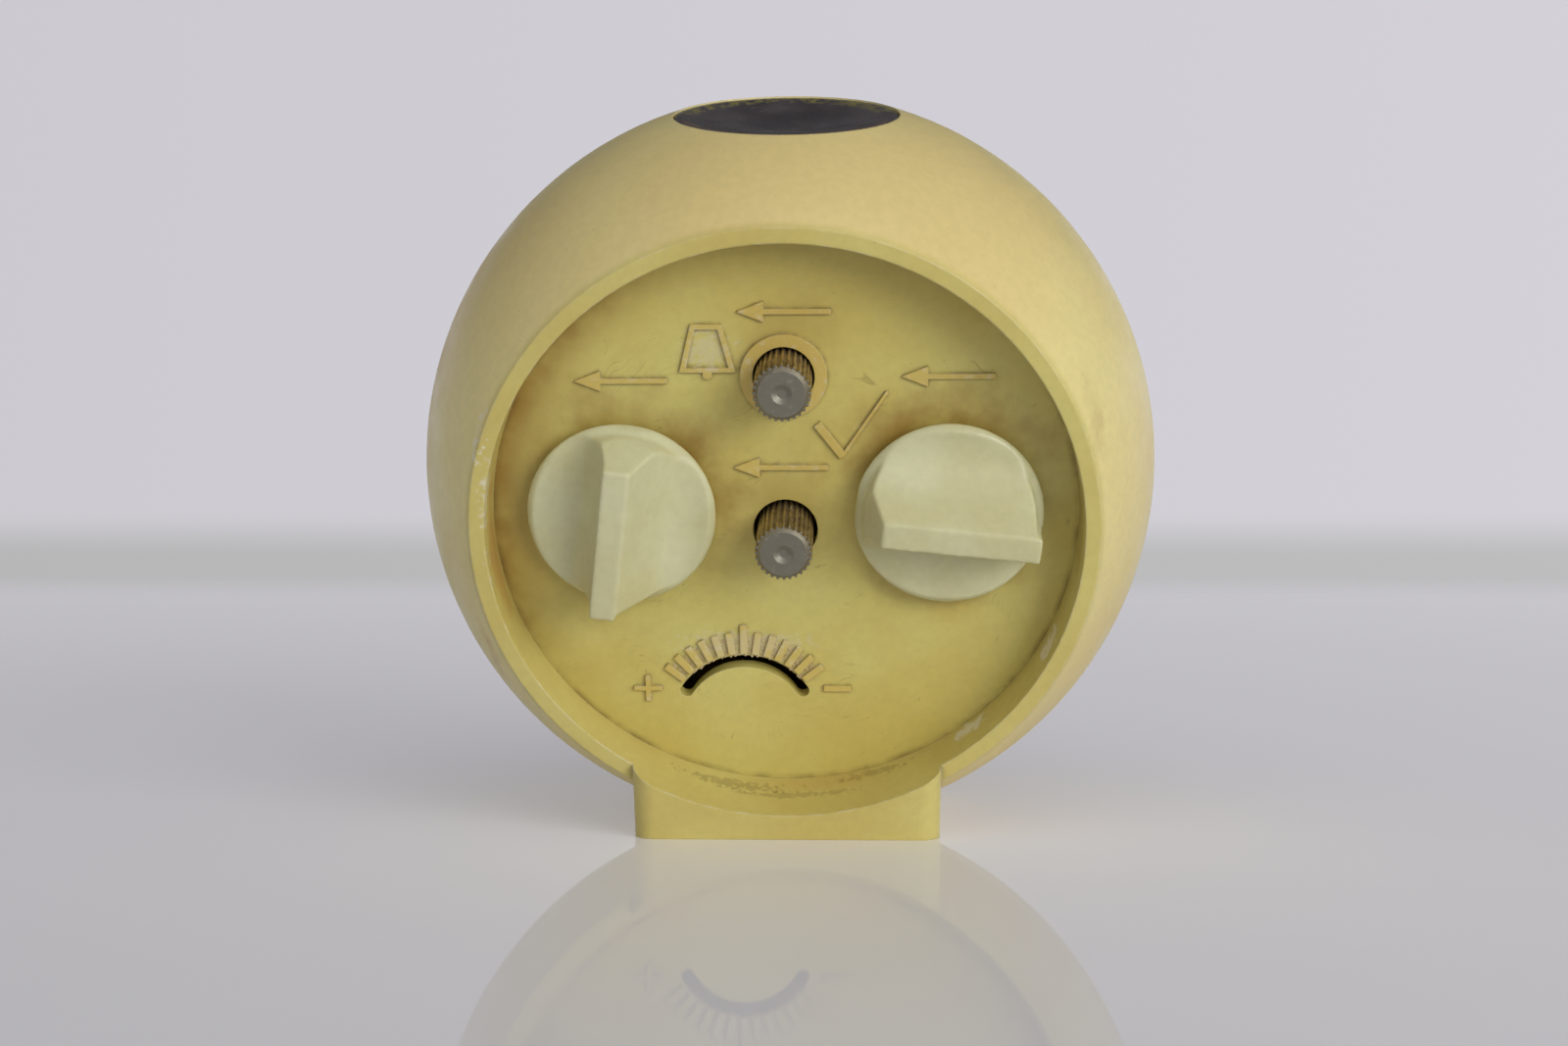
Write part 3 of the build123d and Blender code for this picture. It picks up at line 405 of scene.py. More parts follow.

# old marks on the case, and painted shade on the recess's right wall: tint, place, size, strength, grain,
# raggedness
caseMarks = [
    ("rust", (5.0, -33.6, 22.4), (7.5, 2.5, 3.4), 0.2, 0.35, 0.3),
    ("grimeAndShade", (-7.0, -33.2, 23.6), (9.0, 2.5, 1.2), 0.36, 1.4, 0.9),
    ("grimeAndShade", (11.0, -32.4, 22.6), (7.0, 2.5, 0.9), 0.33, 1.4, 0.9),
    ("grimeAndShade", (1.0, -33.4, 25.2), (9.0, 2.5, 0.8), 0.3, 1.4, 0.9),
    ("scuffed", (30.6, -14.8, 24.0), (2.0, 3.2, 2.2), 0.85, 0.9, 0.7),
    ("scuffed", (21.9, -26.0, 22.8), (3.0, 2.4, 1.7), 0.8, 0.9, 0.7),
    ("scuffed", (-33.5, 6.0, 26.6), (1.2, 9.0, 1.0), 0.7, 0.8, 0.9),
    # the recess's right wall: brown stain with painted shade, as that wall faces away from the light
    ("stainAndShade", (34.0, 5.0, 23.6), (2.4, 15.0, 3.6), 0.3, 0.3, 0.3),
    ("rust", (-34.0, -6.0, 23.4), (2.4, 17.0, 3.0), 0.5, 0.3, 0.3),
    ("scuffed", (33.2, 9.0, 25.4), (1.0, 3.6, 1.2), 0.8, 1.1, 0.9),
    ("rust", (0.0, -34.0, 22.6), (15.0, 2.5, 2.2), 0.06, 0.3, 0.3),
    ("grimeAndShade", (-18.0, -44.0, 29.5), (2.2, 4.0, 1.6), 0.6, 0.9, 0.6),
    ("grimeAndShade", (-3.5, -57.0, 30.1), (2.0, 1.1, 1.0), 0.8, 1.0, 0.7),
    ("grimeAndShade", (12.5, -57.2, 30.1), (1.6, 0.9, 1.0), 0.8, 1.0, 0.7),
]


def makeCasePlastic():
    look = caseLook
    material, tree, shader, place = startMaterial("casePlastic")
    spotPlace = place.outputs["Place"]
    outside = addPlastic(tree, spotPlace, look["cream"], look["pinkCream"], look["driftScale"],
                         look["roughness"])
    inside = addPlastic(tree, spotPlace, look["recess"], look["recessDrift"], look["recessDriftScale"],
                        look["roughness"])
    # rim and recess have not bleached like the ball
    nearAxis = ramp(tree, place.outputs["Off Axis"], *look["shelterRadius"], 1.0, 0.0)
    farOut = ramp(tree, place.outputs["Out"], *look["shelterFloor"])
    foot = ramp(tree, place.outputs["Out"], *look["footFrom"])
    sheltered = maths(tree, "MAXIMUM", maths(tree, "MULTIPLY", nearAxis, farOut), foot)
    colour = mixColour(tree, sheltered, outside.outputs["Colour"], inside.outputs["Colour"])
    shadeAndDirt = useGroup(tree, cornerShadeAndDirt, Place=spotPlace, **look["shadeAndDirt"])
    # dirt and painted shade where the case's faces meet
    colour = mixColour(tree, shadeAndDirt.outputs["Mask"], colour, look["grimeAndShade"])
    for tint, at, size, strength, grit, ragged in caseMarks:
        colour = addSpot(tree, spotPlace, colour, look[tint], at, size, strength, grit, ragged)
    lines = useGroup(tree, scratches, Place=spotPlace, **look["scratches"])
    colour = wash(tree, lines.outputs["Mask"], look["scratchStrength"], colour, look["scuffed"])
    worn = useGroup(tree, edgeWear, Place=spotPlace, **look["wear"])
    colour = mixColour(tree, worn.outputs["Mask"], colour, look["scuffed"])
    tree.links.new(colour, shader.inputs["Base Color"])
    touched = maths(tree, "MAXIMUM", shadeAndDirt.outputs["Mask"], worn.outputs["Mask"])
    rough = mixValue(tree, touched, outside.outputs["Roughness"], look["wornRoughness"])
    tree.links.new(rough, shader.inputs["Roughness"])
    addBump(tree, shader, outside.outputs["Height"], *look["bump"], worn.outputs["Normal"])
    return material


# ---- back plate
plateLook = {
    "plastic": srgb(210, 199, 116),
    "drift": srgb(203, 185, 97),
    "shade": srgb(144, 106, 34),
    "grimeAndShade": srgb(96, 70, 32),
    "mark": srgb(210, 178, 90),
    "residue": srgb(214, 206, 182),
    "driftScale": 0.045,
    "roughness": 0.36,
    "dirtyRoughness": 0.75,
    "shadeAndDirt": {"Reach": 0.0008, "Grit": 0.8, "Amount": 0.6},
    "wear": {"Rounding": 0.00018, "Grit": 1.0, "Amount": 0.5},
    "scratches": {"Density": 1.1},
    "scratchStrength": 0.35,
    "bump": (0.12, 0.0002),
    "face": 21.0,
    "haloLift": 2.5,
    "haloDepth": 6.0,
    "haloEdge": {"grit": 0.12, "ragged": 0.35, "softness": 0.85},
    "rimFrom": 27.5,
    "lineFrom": 33.0,
    "edge": 34.0,
}

# painted brown shade round the keys and shafts: middle, size, strength
plateShadeHalos = [
    (timeKeyAt, 16.5, 0.85),
    (alarmKeyAt, 17.0, 0.9),
    (timeShaftAt, 8.5, 0.34),
    (alarmShaftAt, 9.0, 0.30),
]


def makePlatePlastic():
    look = plateLook
    material, tree, shader, place = startMaterial("platePlastic")
    spotPlace = place.outputs["Place"]
    skin = addPlastic(tree, spotPlace, look["plastic"], look["drift"], look["driftScale"], look["roughness"])
    colour = skin.outputs["Colour"]
    # painted brown shade round each key and shaft
    for middle, size, strength in plateShadeHalos:
        at = (middle.x, middle.y + look["haloLift"], look["face"])
        reach = (size, size, look["haloDepth"])
        colour = addSpot(tree, spotPlace, colour, look["shade"], at, reach, strength, **look["haloEdge"])
    shadeAndDirt = useGroup(tree, cornerShadeAndDirt, Place=spotPlace, **look["shadeAndDirt"])
    # dirt and painted shade where faces meet, such as the dark lines under the raised marks
    colour = mixColour(tree, shadeAndDirt.outputs["Mask"], colour, look["grimeAndShade"])
    # darker band near the rim: painted shade from the recess wall, patchy and mixed with brown stain;
    # strongest on the left and away from the foot
    sides = addNode(tree, "ShaderNodeSeparateXYZ")
    feed(tree, spotPlace, sides.inputs[0])
    rimShadeBand = ramp(tree, place.outputs["Off Axis"], look["rimFrom"], look["edge"])
    for share in (ramp(tree, noise(tree, spotPlace, 0.12, 3.0), 0.3, 0.7, 0.3, 0.8),
                  ramp(tree, sides.outputs["X"], -6.0, -26.0, 0.1, 1.0),
                  ramp(tree, sides.outputs["Y"], -24.0, -12.0, 0.2, 1.1)):
        rimShadeBand = maths(tree, "MULTIPLY", rimShadeBand, share)
    colour = mixColour(tree, rimShadeBand, colour, look["shade"])
    rimLine = ramp(tree, place.outputs["Off Axis"], look["lineFrom"], look["edge"])
    broken = ramp(tree, noise(tree, spotPlace, 0.3, 4.0), 0.35, 0.65, 0.1, 0.6)
    colour = mixColour(tree, maths(tree, "MULTIPLY", rimLine, broken), colour, look["grimeAndShade"])
    # pale residue caught on the raised marks, thickest between the ticks
    raised = ramp(tree, place.outputs["Out"], look["face"], look["face"] + 0.15)
    colour = wash(tree, raised, 0.55, colour, look["mark"])
    caught = ramp(tree, noise(tree, spotPlace, 0.9, 5.0, 0.7), 0.52, 0.66)
    colour = wash(tree, maths(tree, "MULTIPLY", raised, caught), 0.4, colour, look["residue"])
    colour = addSpot(tree, spotPlace, colour, look["residue"], (rateAt.x, rateAt.y + 10.4, look["face"]),
                     (9.0, 2.2, 2.0), 0.35, grit=1.3, ragged=0.6, softness=0.7)
    colour = addSpot(tree, spotPlace, colour, look["residue"], (-8.6, 20.4, look["face"]),
                     (2.8, 2.8, 2.0), 0.35, grit=1.3, ragged=0.9)
    lines = useGroup(tree, scratches, Place=spotPlace, **look["scratches"])
    colour = wash(tree, lines.outputs["Mask"], look["scratchStrength"], colour, look["grimeAndShade"])
    worn = useGroup(tree, edgeWear, Place=spotPlace, **look["wear"])
    colour = mixColour(tree, worn.outputs["Mask"], colour, look["residue"])
    tree.links.new(colour, shader.inputs["Base Color"])
    rough = mixValue(tree, shadeAndDirt.outputs["Mask"], skin.outputs["Roughness"], look["dirtyRoughness"])
    tree.links.new(rough, shader.inputs["Roughness"])
    addBump(tree, shader, skin.outputs["Height"], *look["bump"], worn.outputs["Normal"])
    return material


# ---- winding keys
keyLook = {
    "ivory": srgb(208, 207, 166),
    "drift": srgb(201, 196, 149),
    "grimeAndShade": srgb(140, 118, 70),
    "driftScale": 0.09,
    "roughness": 0.34,
    "shadeAndDirt": {"Reach": 0.0026, "Grit": 0.5, "Amount": 0.5},
    "scratches": {"Density": 1.4},
    "scratchStrength": 0.15,
    "bump": (0.08, 0.0002),
    "glowWeight": 0.12,
    "glowColour": (1.0, 0.8, 0.5),
    "glowDepth": 0.0012,
    "voxel": 0.00017,
    "smoothing": 26,
}


def makeKeyPlastic():
    look = keyLook
    material, tree, shader, place = startMaterial("keyPlastic")
    spotPlace = place.outputs["Place"]
    skin = addPlastic(tree, spotPlace, look["ivory"], look["drift"], look["driftScale"], look["roughness"])
    shadeAndDirt = useGroup(tree, cornerShadeAndDirt, Place=spotPlace, **look["shadeAndDirt"])
    # dirt and painted shade in the key's hollows and corners
    colour = mixColour(tree, shadeAndDirt.outputs["Mask"], skin.outputs["Colour"], look["grimeAndShade"])
    lines = useGroup(tree, scratches, Place=spotPlace, **look["scratches"])
    colour = wash(tree, lines.outputs["Mask"], look["scratchStrength"], colour, look["grimeAndShade"])
    tree.links.new(colour, shader.inputs["Base Color"])
    tree.links.new(skin.outputs["Roughness"], shader.inputs["Roughness"])
    shader.inputs["Subsurface Weight"].default_value = look["glowWeight"]
    shader.inputs["Subsurface Radius"].default_value = look["glowColour"]
    shader.inputs["Subsurface Scale"].default_value = look["glowDepth"]
    addBump(tree, shader, skin.outputs["Height"], *look["bump"])
    return material


# ---- stop button
buttonLook = {
    "plastic": srgb(52, 46, 48),
    "drift": srgb(76, 70, 71),
    "dust": srgb(150, 144, 140),
    "rimDirt": srgb(118, 110, 62),
    "lipLine": srgb(104, 72, 60),
    "lineInside": 2.1,
    "crustInside": 3.3,
    "crustFull": 2.7,
    "driftScale": 0.12,
    "roughness": 0.24,
    "wear": {"Rounding": 0.0003, "Grit": 0.9, "Amount": 0.6},
    "scratches": {"Density": 1.6, "Stretch": (1.0, 1.0, 0.08)},
    "scratchStrength": 0.4,
    "bump": (0.06, 0.0001),
}


def makeButtonPlastic():
    look = buttonLook
    material, tree, shader, place = startMaterial("buttonPlastic")
    spotPlace = place.outputs["Place"]
    skin = addPlastic(tree, spotPlace, look["plastic"], look["drift"], look["driftScale"], look["roughness"])
    worn = useGroup(tree, edgeWear, Place=spotPlace, **look["wear"])
    lines = useGroup(tree, scratches, Place=spotPlace, **look["scratches"])
    colour = mixColour(tree, worn.outputs["Mask"], skin.outputs["Colour"], look["dust"])
    colour = wash(tree, lines.outputs["Mask"], look["scratchStrength"], colour, look["dust"])
    # a brown line on the near lip and a crusty far lip, both round the button's own axis
    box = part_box("stop_button")
    flangeRadius = (box[1][0] - box[0][0]) / 2 / millimetre
    sides = addNode(tree, "ShaderNodeSeparateXYZ")
    feed(tree, spotPlace, sides.inputs[0])
    near = ramp(tree, sides.outputs["Z"], 1.0, 5.0)
    distant = ramp(tree, sides.outputs["Z"], 1.0, -4.0)
    fromAxis = vectorMaths(tree, "LENGTH", vectorMaths(tree, "MULTIPLY", spotPlace, (1.0, 0.0, 1.0)))
    lineOut = maths(tree, "ABSOLUTE", maths(tree, "SUBTRACT", fromAxis, flangeRadius - look["lineInside"]))
    nearLine = maths(tree, "MULTIPLY", ramp(tree, lineOut, 0.75, 0.3), near)
    colour = wash(tree, nearLine, 0.8, colour, look["lipLine"])
    crust = ramp(tree, fromAxis, flangeRadius - look["crustInside"], flangeRadius - look["crustFull"])
    speckled = ramp(tree, noise(tree, spotPlace, 0.9, 5.0, 0.7), 0.42, 0.60)
    crust = maths(tree, "MULTIPLY", maths(tree, "MULTIPLY", crust, speckled), distant)
    colour = mixColour(tree, crust, colour, look["rimDirt"])
    tree.links.new(colour, shader.inputs["Base Color"])
    tree.links.new(skin.outputs["Roughness"], shader.inputs["Roughness"])
    addBump(tree, shader, skin.outputs["Height"], *look["bump"], worn.outputs["Normal"])
    return material


# ---- metals
metalLook = {"wear": {"Rounding": 0.00012, "Grit": 1.2, "Amount": 0.3}, "bump": (0.15, 0.00005)}


def makeMetal(name, colour, tarnish, amount, roughness, stretch):
    material, tree, shader, place = startMaterial(name)
    spotPlace = place.outputs["Place"]
    skin = addMetal(tree, spotPlace, colour, tarnish, amount, roughness, stretch)
    worn = useGroup(tree, edgeWear, Place=spotPlace, **metalLook["wear"])
    bright = mixColour(tree, worn.outputs["Mask"], skin.outputs["Colour"], colour)
    tree.links.new(bright, shader.inputs["Base Color"])
    tree.links.new(skin.outputs["Roughness"], shader.inputs["Roughness"])
    shader.inputs["Metallic"].default_value = 1.0
    addBump(tree, shader, skin.outputs["Height"], *metalLook["bump"], worn.outputs["Normal"])
    return material


shaftLook = {
    "end": srgb(142, 138, 124),
    "flank": srgb(198, 178, 132),
    "grimeAndShade": srgb(60, 44, 26),
    "residue": srgb(196, 190, 172),
    "tarnished": 0.5,
    "chalky": 0.5,
    "shadeAndDirt": {"Reach": 0.0005, "Grit": 1.4, "Amount": 0.75},
    "wear": {"Rounding": 0.0001, "Grit": 1.5, "Amount": 0.6},
    "bump": (0.2, 0.00006),
    "flankRoughness": 0.42,
    "endRoughness": 0.52,
    "brushing": (1.0, 1.0, 0.15),
}


def makeShaftBrass():
    look = shaftLook
    material, tree, shader, place = startMaterial("shaftBrass")
    spotPlace = place.outputs["Place"]
    skin = addMetal(tree, spotPlace, look["flank"], look["grimeAndShade"], look["tarnished"],
                    look["flankRoughness"], look["brushing"])
    shadeAndDirt = useGroup(tree, cornerShadeAndDirt, Place=spotPlace, **look["shadeAndDirt"])
    # dirt and painted shade in the grooves and corners
    colour = mixColour(tree, shadeAndDirt.outputs["Mask"], skin.outputs["Colour"], look["grimeAndShade"])
    chalk = ramp(tree, noise(tree, spotPlace, 1.6, 5.0, 0.7), 0.55, 0.68)
    colour = wash(tree, chalk, look["chalky"], colour, look["residue"])
    geometry = addNode(tree, "ShaderNodeNewGeometry")
    facing = vectorMaths(tree, "DOT_PRODUCT", geometry.outputs["Normal"], tuple(backWay))
    ends = ramp(tree, facing, 0.45, 0.75)
    colour = mixColour(tree, ends, colour, look["end"])
    tree.links.new(colour, shader.inputs["Base Color"])
    covered = maths(tree, "MAXIMUM", shadeAndDirt.outputs["Mask"], maths(tree, "MULTIPLY", chalk, 0.8))
    tree.links.new(mixValue(tree, covered, 1.0, 0.1), shader.inputs["Metallic"])
    rough = mixValue(tree, ends, skin.outputs["Roughness"], look["endRoughness"])
    tree.links.new(rough, shader.inputs["Roughness"])
    worn = useGroup(tree, edgeWear, Place=spotPlace, **look["wear"])
    addBump(tree, shader, skin.outputs["Height"], *look["bump"], worn.outputs["Normal"])
    return material


# ---- painted sheet, used for dial, hands and surround
paintLook = {
    "driftScale": 0.06,
    "shadeAndDirt": {"Reach": 0.0008, "Grit": 0.9, "Amount": 0.4},
    "grimeAndShade": srgb(90, 74, 48),
    "bump": (0.08, 0.0001),
}


def makePaint(name, colour, drift, roughness, coat=0.0):
    material, tree, shader, place = startMaterial(name)
    spotPlace = place.outputs["Place"]
    skin = addPlastic(tree, spotPlace, colour, drift, paintLook["driftScale"], roughness)
    shadeAndDirt = useGroup(tree, cornerShadeAndDirt, Place=spotPlace, **paintLook["shadeAndDirt"])
    # dirt and painted shade where faces meet
    shown = mixColour(tree, shadeAndDirt.outputs["Mask"], skin.outputs["Colour"], paintLook["grimeAndShade"])
    tree.links.new(shown, shader.inputs["Base Color"])
    tree.links.new(skin.outputs["Roughness"], shader.inputs["Roughness"])
    shader.inputs["Coat Weight"].default_value = coat
    addBump(tree, shader, skin.outputs["Height"], *paintLook["bump"])
    return material


# ---- crystal over the dial
crystalLook = {
    "clear": srgb(250, 252, 250),
    "scratched": srgb(230, 230, 226),
    "scratches": {"Density": 0.8},
    "haze": 0.25,
    "roughness": 0.03,
    "ior": 1.49,
}


def makeCrystal():
    look = crystalLook
    material, tree, shader, place = startMaterial("crystalClear")
    lines = useGroup(tree, scratches, Place=place.outputs["Place"], **look["scratches"])
    haze = maths(tree, "MULTIPLY", lines.outputs["Mask"], look["haze"])
    tree.links.new(maths(tree, "ADD", haze, look["roughness"]), shader.inputs["Roughness"])
    tint = mixColour(tree, lines.outputs["Mask"], look["clear"], look["scratched"])
    tree.links.new(tint, shader.inputs["Base Color"])
    shader.inputs["Transmission Weight"].default_value = 1.0
    shader.inputs["IOR"].default_value = look["ior"]
    shader.inputs["Metallic"].default_value = 0.0
    return material


brassTone = srgb(196, 164, 96)
sheetTone = srgb(190, 158, 92)
bezelTone = srgb(216, 190, 126)
steelTone = srgb(168, 168, 170)
finishes = {
    "case_plastic": makeCasePlastic(),
    "plate_plastic": makePlatePlastic(),
    "key_plastic": makeKeyPlastic(),
    "button_plastic": makeButtonPlastic(),
    "shaft_brass": makeShaftBrass(),
    "brass": makeMetal("wheelBrass", brassTone, srgb(120, 88, 44), 0.35, 0.26, (1.0, 1.0, 1.0)),
    "plate_brass": makeMetal("sheetBrass", sheetTone, srgb(116, 88, 48), 0.4, 0.32, (1.0, 0.08, 1.0)),
    "steel": makeMetal("turnedSteel", steelTone, srgb(96, 84, 70), 0.25, 0.28, (1.0, 1.0, 0.1)),
    "spring_steel": makeMetal("bluedSteel", srgb(84, 92, 116), srgb(50, 48, 52), 0.4, 0.3, (1.0, 1.0, 0.1)),
    "bell_steel": makeMetal("bellSteel", srgb(176, 174, 168), srgb(110, 98, 80), 0.3, 0.24, (1.0, 1.0, 0.2)),
    "bezel_brass": makeMetal("bezelBrass", bezelTone, srgb(176, 146, 90), 0.25, 0.16, (1.0, 1.0, 0.3)),
    "dial_paint": makePaint("dialPaint", srgb(236, 230, 208), srgb(226, 214, 182), 0.5),
    "surround_paint": makePaint("surroundPaint", srgb(222, 208, 160), srgb(210, 190, 140), 0.4, 0.3),
    "hand_paint": makePaint("handPaint", srgb(30, 28, 27), srgb(44, 40, 36), 0.35, 0.3),
    "alarm_hand_paint": makePaint("alarmHandPaint", srgb(168, 38, 26), srgb(150, 34, 26), 0.35, 0.3),
    "crystal": makeCrystal(),
}
for name, piece in frame["nodes"].items():
    piece.data.materials.clear()
    piece.data.materials.append(finishes[slotOf[name]])
print("finishes on the parts")


# ---- mesh helpers
def addPiece(name, data):
    piece = bpy.data.objects.new(name, data)
    bpy.context.collection.objects.link(piece)
    return piece


def dress(piece, finish):
    # one finish over the whole piece, smoothly shaded
    for face in piece.data.polygons:
        face.use_smooth = True
    piece.data.materials.clear()
    piece.data.materials.append(finish)


def mergedCopy(node, name):
    mesh = frame["nodes"][node].data.copy()
    piece = addPiece(name, mesh)
    shape = bmesh.new()
    shape.from_mesh(mesh)
    bmesh.ops.remove_doubles(shape, verts=shape.verts, dist=0.00001)
    bmesh.ops.recalc_face_normals(shape, faces=shape.faces)
    shape.to_mesh(mesh)
    shape.free()
    return piece


def settle(piece):
    # modifiers become plain mesh
    view = bpy.context.evaluated_depsgraph_get()
    mesh = bpy.data.meshes.new_from_object(piece.evaluated_get(view))
    piece.modifiers.clear()
    piece.data = mesh
    return piece


# ---- keys with soft moulded edges
def softKey(node, name, body):
    piece = mergedCopy(node, name)
    remesh = piece.modifiers.new("remesh", "REMESH")
    remesh.mode = "VOXEL"
    remesh.voxel_size = keyLook["voxel"]
    smooth = piece.modifiers.new("smooth", "SMOOTH")
    smooth.factor = 0.5
    smooth.iterations = keyLook["smoothing"]
    settle(piece)
    dress(piece, finishes["key_plastic"])
    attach(piece, body)
    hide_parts(node)
    return piece


softKey("time_key", "timeKeySoft", "time_winding")
softKey("alarm_key", "alarmKeySoft", "alarm_winding")
print("keys smoothed")


def makeSoftSpring():
    piece = mergedCopy("button_spring", "buttonSpringSoft")
    dress(piece, finishes["spring_steel"])
    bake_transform(piece)
    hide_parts("button_spring")
    return piece


makeSoftSpring()


# ---- printed dial: minute track repeated by geometry nodes, plain figures
dialLook = {
    "trackInside": 2.0,
    "markLength": 1.5,
    "markWidth": 0.34,
    "longLength": 2.6,
    "longWidth": 0.8,
    "proud": 0.05,
    "sunk": 0.01,
    "figureShare": 0.79,
    "figureSize": 6.0,
    "ink": srgb(38, 34, 31),
    "inkDrift": srgb(58, 50, 44),
}


def frontLevel(node):
    # how far the part reaches towards the dial side
    return min(inClock(corner.co).z for corner in frame["nodes"][node].data.vertices)


def holeRadius(node):
    # least distance from the clock's axis
    return min(inClock(corner.co).to_2d().length for corner in frame["nodes"][node].data.vertices)


def newShapeTree(name, inputs):
    tree = bpy.data.node_groups.new(name, "GeometryNodeTree")
    tree.interface.new_socket(name="Geometry", in_out="INPUT", socket_type="NodeSocketGeometry")
    kinds = {"float": "NodeSocketFloat", "int": "NodeSocketInt", "material": "NodeSocketMaterial"}
    for label, kind in inputs:
        tree.interface.new_socket(name=label, in_out="INPUT", socket_type=kinds[kind])
    tree.interface.new_socket(name="Geometry", in_out="OUTPUT", socket_type="NodeSocketGeometry")
    return tree, addNode(tree, "NodeGroupInput"), addNode(tree, "NodeGroupOutput")


def finishTree(tree, copies, finish, result):
    # copies become real mesh with their finish on
    real = addNode(tree, "GeometryNodeRealizeInstances")
    feed(tree, copies.outputs["Instances"], real.inputs[0])
    paint = addNode(tree, "GeometryNodeSetMaterial")
    feed(tree, real.outputs[0], paint.inputs["Geometry"])
    feed(tree, finish, paint.inputs["Material"])
    feed(tree, paint.outputs[0], result.inputs[0])


def setInputs(modifier, values):
    items = modifier.node_group.interface.items_tree
    sockets = {item.name: item.identifier for item in items if item.in_out == "INPUT"}
    for label, value in values.items():
        modifier[sockets[label]] = value


def makeRingOfMarks():
    # boxes on a circle about the origin, flat side down, long side pointing outwards
    tree, given, result = newShapeTree("ringOfMarks", [
        ("Count", "int"), ("Radius", "float"), ("Length", "float"), ("Width", "float"),
        ("Thickness", "float"), ("Ink", "material")])
    circle = addNode(tree, "GeometryNodeMeshCircle", fill_type="NONE")
    feed(tree, given.outputs["Count"], circle.inputs["Vertices"])
    feed(tree, given.outputs["Radius"], circle.inputs["Radius"])
    size = addNode(tree, "ShaderNodeCombineXYZ")
    for label, axis in (("Length", "X"), ("Width", "Y"), ("Thickness", "Z")):
        feed(tree, given.outputs[label], size.inputs[axis])
    box = addNode(tree, "GeometryNodeMeshCube")
    feed(tree, size.outputs[0], box.inputs["Size"])
    place = addNode(tree, "GeometryNodeInputPosition")
    aim = addNode(tree, "FunctionNodeAlignRotationToVector", axis="X", pivot_axis="Z")
    feed(tree, place.outputs[0], aim.inputs["Vector"])
    copies = addNode(tree, "GeometryNodeInstanceOnPoints")
    feed(tree, circle.outputs["Mesh"], copies.inputs["Points"])
    feed(tree, box.outputs["Mesh"], copies.inputs["Instance"])
    feed(tree, aim.outputs["Rotation"], copies.inputs["Rotation"])
    finishTree(tree, copies, given.outputs["Ink"], result)
    return tree


def grownMesh(name, tree, values, start=None):
    # run the node tree once and keep only the plain mesh
    piece = addPiece(name, start or bpy.data.meshes.new(name))
    modifier = piece.modifiers.new(name, "NODES")
    modifier.node_group = tree
    setInputs(modifier, values)
    return settle(piece)


def figureMesh(text, size, thickness):
    curve = bpy.data.curves.new("figure" + text, "FONT")
    curve.body = text
    curve.size = size
    curve.extrude = thickness / 2
    curve.align_x = "CENTER"
    curve.align_y = "CENTER"
    curve.resolution_u = 6
    carrier = addPiece("figure" + text, curve)
    view = bpy.context.evaluated_depsgraph_get()
    mesh = bpy.data.meshes.new_from_object(carrier.evaluated_get(view))
    bpy.data.objects.remove(carrier)
    return mesh


def makeDialPrint():
    look = dialLook
    ink = makePaint("dialInk", look["ink"], look["inkDrift"], 0.45)
    opening = holeRadius("dial_surround")
    ring = makeRingOfMarks()
    common = {"Radius": opening - look["trackInside"], "Thickness": look["proud"], "Ink": ink}
    small = grownMesh("minuteMarks", ring, {**common, "Count": 60, "Length": look["markLength"],
                                            "Width": look["markWidth"]})
    large = grownMesh("hourMarks", ring, {**common, "Count": 12, "Length": look["longLength"],
                                          "Width": look["longWidth"]})
    # seen from the dial side, across is mirrored
    level = frontLevel("dial") - look["proud"] / 2 + look["sunk"]
    toFace = Matrix.Translation((0, 0, level)) @ Matrix.Rotation(pi, 4, "Y")
    shape = bmesh.new()
    for piece in (small, large):
        part = piece.data.copy()
        part.transform(toFace)
        shape.from_mesh(part)
        bpy.data.objects.remove(piece)
    for hour in range(1, 13):
        turn = radians(90 - 30 * hour)
        spot = Vector((cos(turn), sin(turn), 0)) * opening * look["figureShare"]
        part = figureMesh(str(hour), look["figureSize"], look["proud"])
        part.transform(toFace @ Matrix.Translation(spot))
        shape.from_mesh(part)
    bmesh.ops.transform(shape, matrix=clockFrame, verts=shape.verts)
    bmesh.ops.recalc_face_normals(shape, faces=shape.faces)
    mesh = bpy.data.meshes.new("dialPrint")
    shape.to_mesh(mesh)
    shape.free()
    piece = addPiece("dialPrint", mesh)
    mesh.materials.clear()
    mesh.materials.append(ink)
    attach(piece, bodyOf["dial"])
    return piece


dialPrint = makeDialPrint()
print("dial printed", len(dialPrint.data.polygons))


# ---- crumbs of old residue on the back plate, scattered by geometry nodes
crumbLook = {
    "count": 520,
    "size": 0.13,
    "scales": (0.3, 1.5),
    "stretch": 1.4,
    "flatness": 0.35,
    "seed": 7,
    "inner": 8.9,
    "outer": 11.4,
    "halfAngle": 52.0,
    "pale": srgb(206, 190, 146),
    "drift": srgb(170, 140, 84),
}


